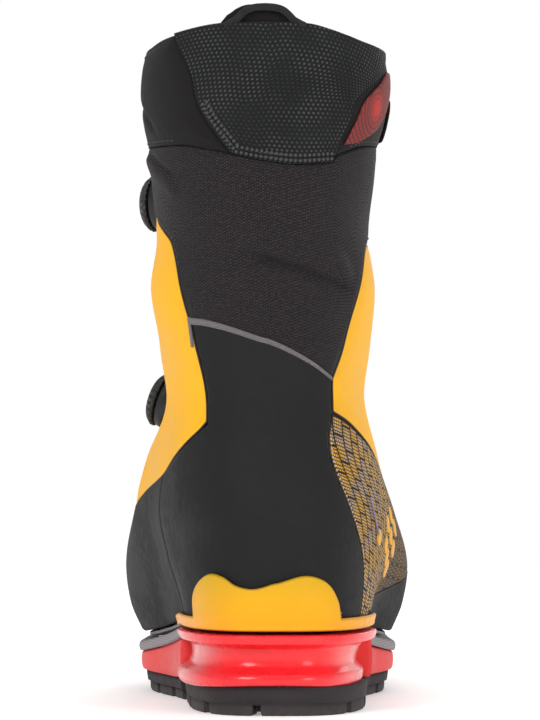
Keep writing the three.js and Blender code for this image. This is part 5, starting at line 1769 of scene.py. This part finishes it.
def moved(place, x, y, z, turn=None):
    """A place shifted in its own axes, with its axes set in a new order if turn is given."""
    shift = np.eye(4)
    shift[:3, 3] = np.array([x, y, z]) * MM
    if turn is not None:
        shift[:3, :3] = turn
    return place @ shift


class BOOT_OT_zip(bpy.types.Operator):
    """Builds the zip's tapes, its teeth, the slider and the pull"""

    bl_idname = "boot.zip"
    bl_label = "Zip"

    def execute(self, context):
        place, foot, long = zip_place()
        for side, sign in (("lateral", 1), ("medial", -1)):
            self.tape(side, sign, place, foot)
            self.teeth(side, sign, place, long)
        self.slider(moved(place, 0, long - 0.5, 0))
        return {"FINISHED"}

    @staticmethod
    def tape(side, sign, place, foot):
        """One tape: at each level, Newton's steps find the places at even distances across from the teeth."""
        edge = (0.3, TAPE_WIDE) if sign > 0 else (TAPE_WIDE, 0.3)
        across, h = np.meshgrid(-sign * np.linspace(*edge, 16), np.linspace(ZIP_LOW - 3, CUFF_FOOT + 1, 90))
        s = np.full(across.shape, float(ZIP_S))
        for _ in range(6):
            off, ahead, behind = ((form_point(s + d, h) - foot) @ place[:3, 0] / MM for d in (0, 0.5, -0.5))
            s = s - (off - across) / (ahead - behind)
        sheet(f"zip_tape_{side}_woven", [(s, h)], padded_cloth(), "cuff_fabric", f"zip_tape_{side}", lift=1.1,
              thick=0.5, roll=0.2)

    @staticmethod
    def teeth(side, sign, place, long):
        """One row of teeth, each with a wider head, and the cord that they are moulded round."""
        pitch = sizes().tooth_pitch / MM
        rows = np.arange(0.7 + (pitch / 2 if sign > 0 else 0), long - 0.6, pitch)
        one = np.array([(x, y, z) for z in (0.1, 1.9) for x, y in (
            (-0.9, -0.45), (0.7, -0.45), (1.3, -0.75), (1.3, 0.75), (0.7, 0.45), (-0.9, 0.45))])
        one[:, 2] -= 0.15 * (np.abs(one[:, 1]) > 0.5) * np.sign(one[:, 2] - 1)
        faces = [*quads(2, 6, wrap=True), [5, 4, 3, 2, 1, 0], [6, 7, 8, 9, 10, 11]]
        frames = np.repeat((place[:3, :3] * (sign, 1, 1))[None], len(rows), 0)
        origins = placed(np.column_stack([np.full(len(rows), -sign * 1.1), rows, np.zeros(len(rows))]), place)
        piece = scatter(f"zip_teeth_{side}_row", one, faces, origins, frames)
        bevel = piece.modifiers.new("edges", "BEVEL")
        bevel.width, bevel.segments = 0.12 * MM, 1
        finish_piece(piece, black_plastic(), nodes=f"zip_teeth_{side}", slot="black_plastic")
        up = np.linspace(0.2, long - 0.2, 60)
        path = placed(np.column_stack([np.full(60, -sign * 2.1), up, np.full(60, 0.4)]), place)
        finish_piece(tube(f"zip_cord_{side}", path, 0.35, 8), padded_cloth(), slot="cuff_fabric")

    @staticmethod
    def slider(place):
        """The slider's body, the bow over it and the pull that hangs from the bow."""
        side_on = np.array([[0, 0, 1], [1, 0, 0], [0, 1, 0.0]])
        body = [(-3.9, 0.2), (-2.6, 0.2), (-2.6, 2.35), (2.6, 2.35), (2.6, 0.2), (3.9, 0.2), (3.9, 3.0),
                (3.3, 3.6), (-3.3, 3.6), (-3.9, 3.0)]
        along = np.array([[1, 0, 0], [0, 0, -1], [0, 1, 0.0]])
        piece = prism("zip_slider_body", [body], SLIDER_LONG, moved(place, 0, -SLIDER_LONG / 2, 0, along))
        finish_piece(piece, brushed_steel(), "zip_slider", "zip_slider", "steel")
        bow = [(-2.6, -1.8), (-1.3, -1.8), (-1.3, 0.9), (-1.0, 1.2), (1.0, 1.2), (1.3, 0.9), (1.3, -1.8),
               (2.6, -1.8), (2.6, 1.3), (2.3, 1.8), (1.8, 2.1), (-1.8, 2.1), (-2.3, 1.8), (-2.6, 1.3)]
        piece = prism("zip_slider_bow", [bow], 1.4, moved(place, 0, HINGE_Y, HINGE_Z, side_on))
        finish_piece(piece, brushed_steel(), "zip_slider", slot="steel")
        arc = np.radians(np.linspace(0, -180, 17))
        tip = np.column_stack([2.5 * np.cos(arc), -15 + 2.5 * np.sin(arc)])
        outer = [(-2.2, 0.7), (2.2, 0.7), (2.5, 0.2), *tip, (-2.5, 0.2)]
        hole = [(-1.3, -0.7), (-1.3, -4.8), (1.3, -4.8), (1.3, -0.7)]
        piece = prism("zip_pull_tab", [outer, hole], 1.0, moved(place, 0, HINGE_Y, HINGE_Z))
        finish_piece(piece, black_plastic(), "zip_pull", "zip_pull", "black_plastic")


# ---------- the tab and the loop ----------
class BOOT_OT_tab(bpy.types.Operator):
    """Builds the cuff tab, its anchor and the pull loop"""

    bl_idname = "boot.tab"
    bl_label = "Tab and loop"

    def execute(self, context):
        tip, root, low, high = 93, 199, 247, 266
        tab = patch([(tip, low + 6), (tip + 4, low + 1.6), (tip + 8, low), (root, low)],
                    [(tip, high - 6), (tip + 4, high - 1.6), (tip + 8, high), (root, high)],
                    [(tip, low + 6), (tip, high - 6)], [(root, low), (root, high)], 160, 34)
        piece = skin("cuff_tab_strap", [tab], lift=2.7, thick=1.5, roll=0.6)
        finish_piece(piece, padded_cloth(), "cuff_tab", "cuff_tab", "cuff_fabric")
        near, far, low, high = root + 2, root + 10, low - 1, high + 1
        anchor = patch([(near, low), (far, low)], [(near, high), (far, high)], [(near, low), (near, high)],
                       [(far, low), (far, high)], 30, 50)
        sheet("tab_anchor_strap", [anchor], padded_cloth(), "cuff_fabric", "tab_anchor", lift=3.0, thick=2.2,
              roll=0.9)
        self.loop()
        return {"FINISHED"}

    @staticmethod
    def loop():
        """A flared band of webbing that stands on the rim: a flat section carried along a bell-shaped line."""
        half = through([(0, 17.4), (1, 12.6), (2, 10.4), (3, 7.7), (4, 4.2), (5, 0.0)])
        rise = through([(0, -2.0), (1, 0.6), (2, 2.8), (3, 5.0), (4, 6.1), (5, 6.4)])
        t = np.linspace(0, 5, 60)
        x, z = np.concatenate([-half(t), half(t[:-1])[::-1]]), np.concatenate([rise(t), rise(t[:-1])[::-1]])
        foot = on_form(0.0, 295.0, -1.1)
        path = np.column_stack([x * MM - 0.006, np.full(len(x), foot[1]), z * MM + foot[2] + 0.5 * MM])
        turn = np.linspace(0, 2 * np.pi, 24, endpoint=False)
        section = np.column_stack([1.05 * np.sign(np.cos(turn)) * np.abs(np.cos(turn)) ** 0.5,
                                   1.5 * np.sign(np.sin(turn)) * np.abs(np.sin(turn)) ** 0.6])
        normals = np.broadcast_to(np.array([0, -1.0, 0]), path.shape)
        piece = loft("pull_loop_webbing", carried(section, path, normals))
        finish_piece(piece, lining_foam(), "pull_loop", "pull_loop", "cuff_fabric")


# ---------- stitching ----------
class BOOT_OT_stitches(bpy.types.Operator):
    """Sews the seams: rows of separate stitches along them"""

    bl_idname = "boot.stitches"
    bl_label = "Stitching"

    def execute(self, context):
        grey, gold = thread("dark_thread", "2e2c2d"), thread("gold_thread", "c9a23c")
        pitch = sizes().stitch_pitch / MM
        one = bead(pitch * 0.36, 0.3, 0.28, 6, 3)
        rows = (
            ("flank_lateral_stitches", FLANK_TOP_LEFT[:-1], 2.4, 0.75, grey),
            ("flank_medial_stitches", FLANK_TOP_RIGHT[1:], 2.4, 0.75, grey),
            ("cuff_lateral_stitches", [(-215, 245.6), (-130, 245.6), (-44, 245.4)], 0.0, 0.35, grey),
            ("cuff_medial_stitches", [(44, 242.6), (60, 245.4), (100, 245.6), (134, 245.6)], 0.0, 0.3, grey),
            ("cuff_rim_lateral_stitches", [(-215, 281.8), (-120, 281.8), (-75, 283.2), (-52, 286.4)],
             0.0, 0.4, grey),
            ("cuff_rim_medial_stitches", [(92, 281.2), (134, 281.6)], 0.0, 0.3, grey),
            ("vamp_stitches", VAMP_TOP, -2.4, 0.85, gold),
            ("tab_stitches", [(104, 249.2), (150, 249.2), (194, 249.2)], 0.0, 2.8, grey),
            ("tab_upper_stitches", [(104, 263.8), (150, 263.8), (194, 263.8)], 0.0, 2.8, grey),
        )
        for name, line, inset, lift, material in rows:
            row = seam_beads(name, line, pitch, inset, lift, one, (0.01, 0.99))
            body = "cuff_tab" if name.startswith("tab") else "boot"
            finish_piece(row, material, body, slot="cuff_fabric" if "cuff" in name else "black_fabric")
        dot = bead(0.6, 0.6, 0.35, rings=3)
        beads = seam_beads("scale_edge_dots", RUBBER_FOOT_RIGHT[1:-1][::-1], 2.1, 1.5, 0.2, dot)
        finish_piece(beads, thread("pale_dots", "b9a99c"), slot="scale_knit")
        return {"FINISHED"}


# ---------- the sidebar, and the order of building ----------
OPERATORS = (
    BOOT_OT_sole, BOOT_OT_heel_cup, BOOT_OT_rubber, BOOT_OT_yellow, BOOT_OT_scales, BOOT_OT_gaiter,
    BOOT_OT_cuff, BOOT_OT_inner, BOOT_OT_dials, BOOT_OT_zip, BOOT_OT_tab, BOOT_OT_stitches, BOOT_OT_stage,
)


class BOOT_PT_panel(bpy.types.Panel):
    """Lists the steps that build the boot, and its sizes and colours"""

    bl_label = "Mountaineering boot"
    bl_idname = "BOOT_PT_panel"
    bl_space_type = "VIEW_3D"
    bl_region_type = "UI"
    bl_category = "Boot"

    def draw(self, context):
        column = self.layout.column(align=True)
        for step in OPERATORS:
            column.operator(step.bl_idname)
        for owner in (context.scene.boot_sizes, context.scene.boot_colours):
            box = self.layout.box()
            for key in owner.bl_rna.properties.keys():
                if key not in {"rna_type", "name"}:
                    box.prop(owner, key)


CLASSES = (BootSizes, BootColours, *OPERATORS, BOOT_PT_panel)


def register():
    for entry in CLASSES:
        bpy.utils.register_class(entry)
    bpy.types.Scene.boot_sizes = bpy.props.PointerProperty(type=BootSizes)
    bpy.types.Scene.boot_colours = bpy.props.PointerProperty(type=BootColours)


def unregister():
    del bpy.types.Scene.boot_sizes, bpy.types.Scene.boot_colours
    for entry in reversed(CLASSES):
        bpy.utils.unregister_class(entry)


def main():
    register()
    for step in OPERATORS:
        group_name, step_name = step.bl_idname.split(".")
        getattr(getattr(bpy.ops, group_name), step_name)()


if __name__ == "__main__":
    main()
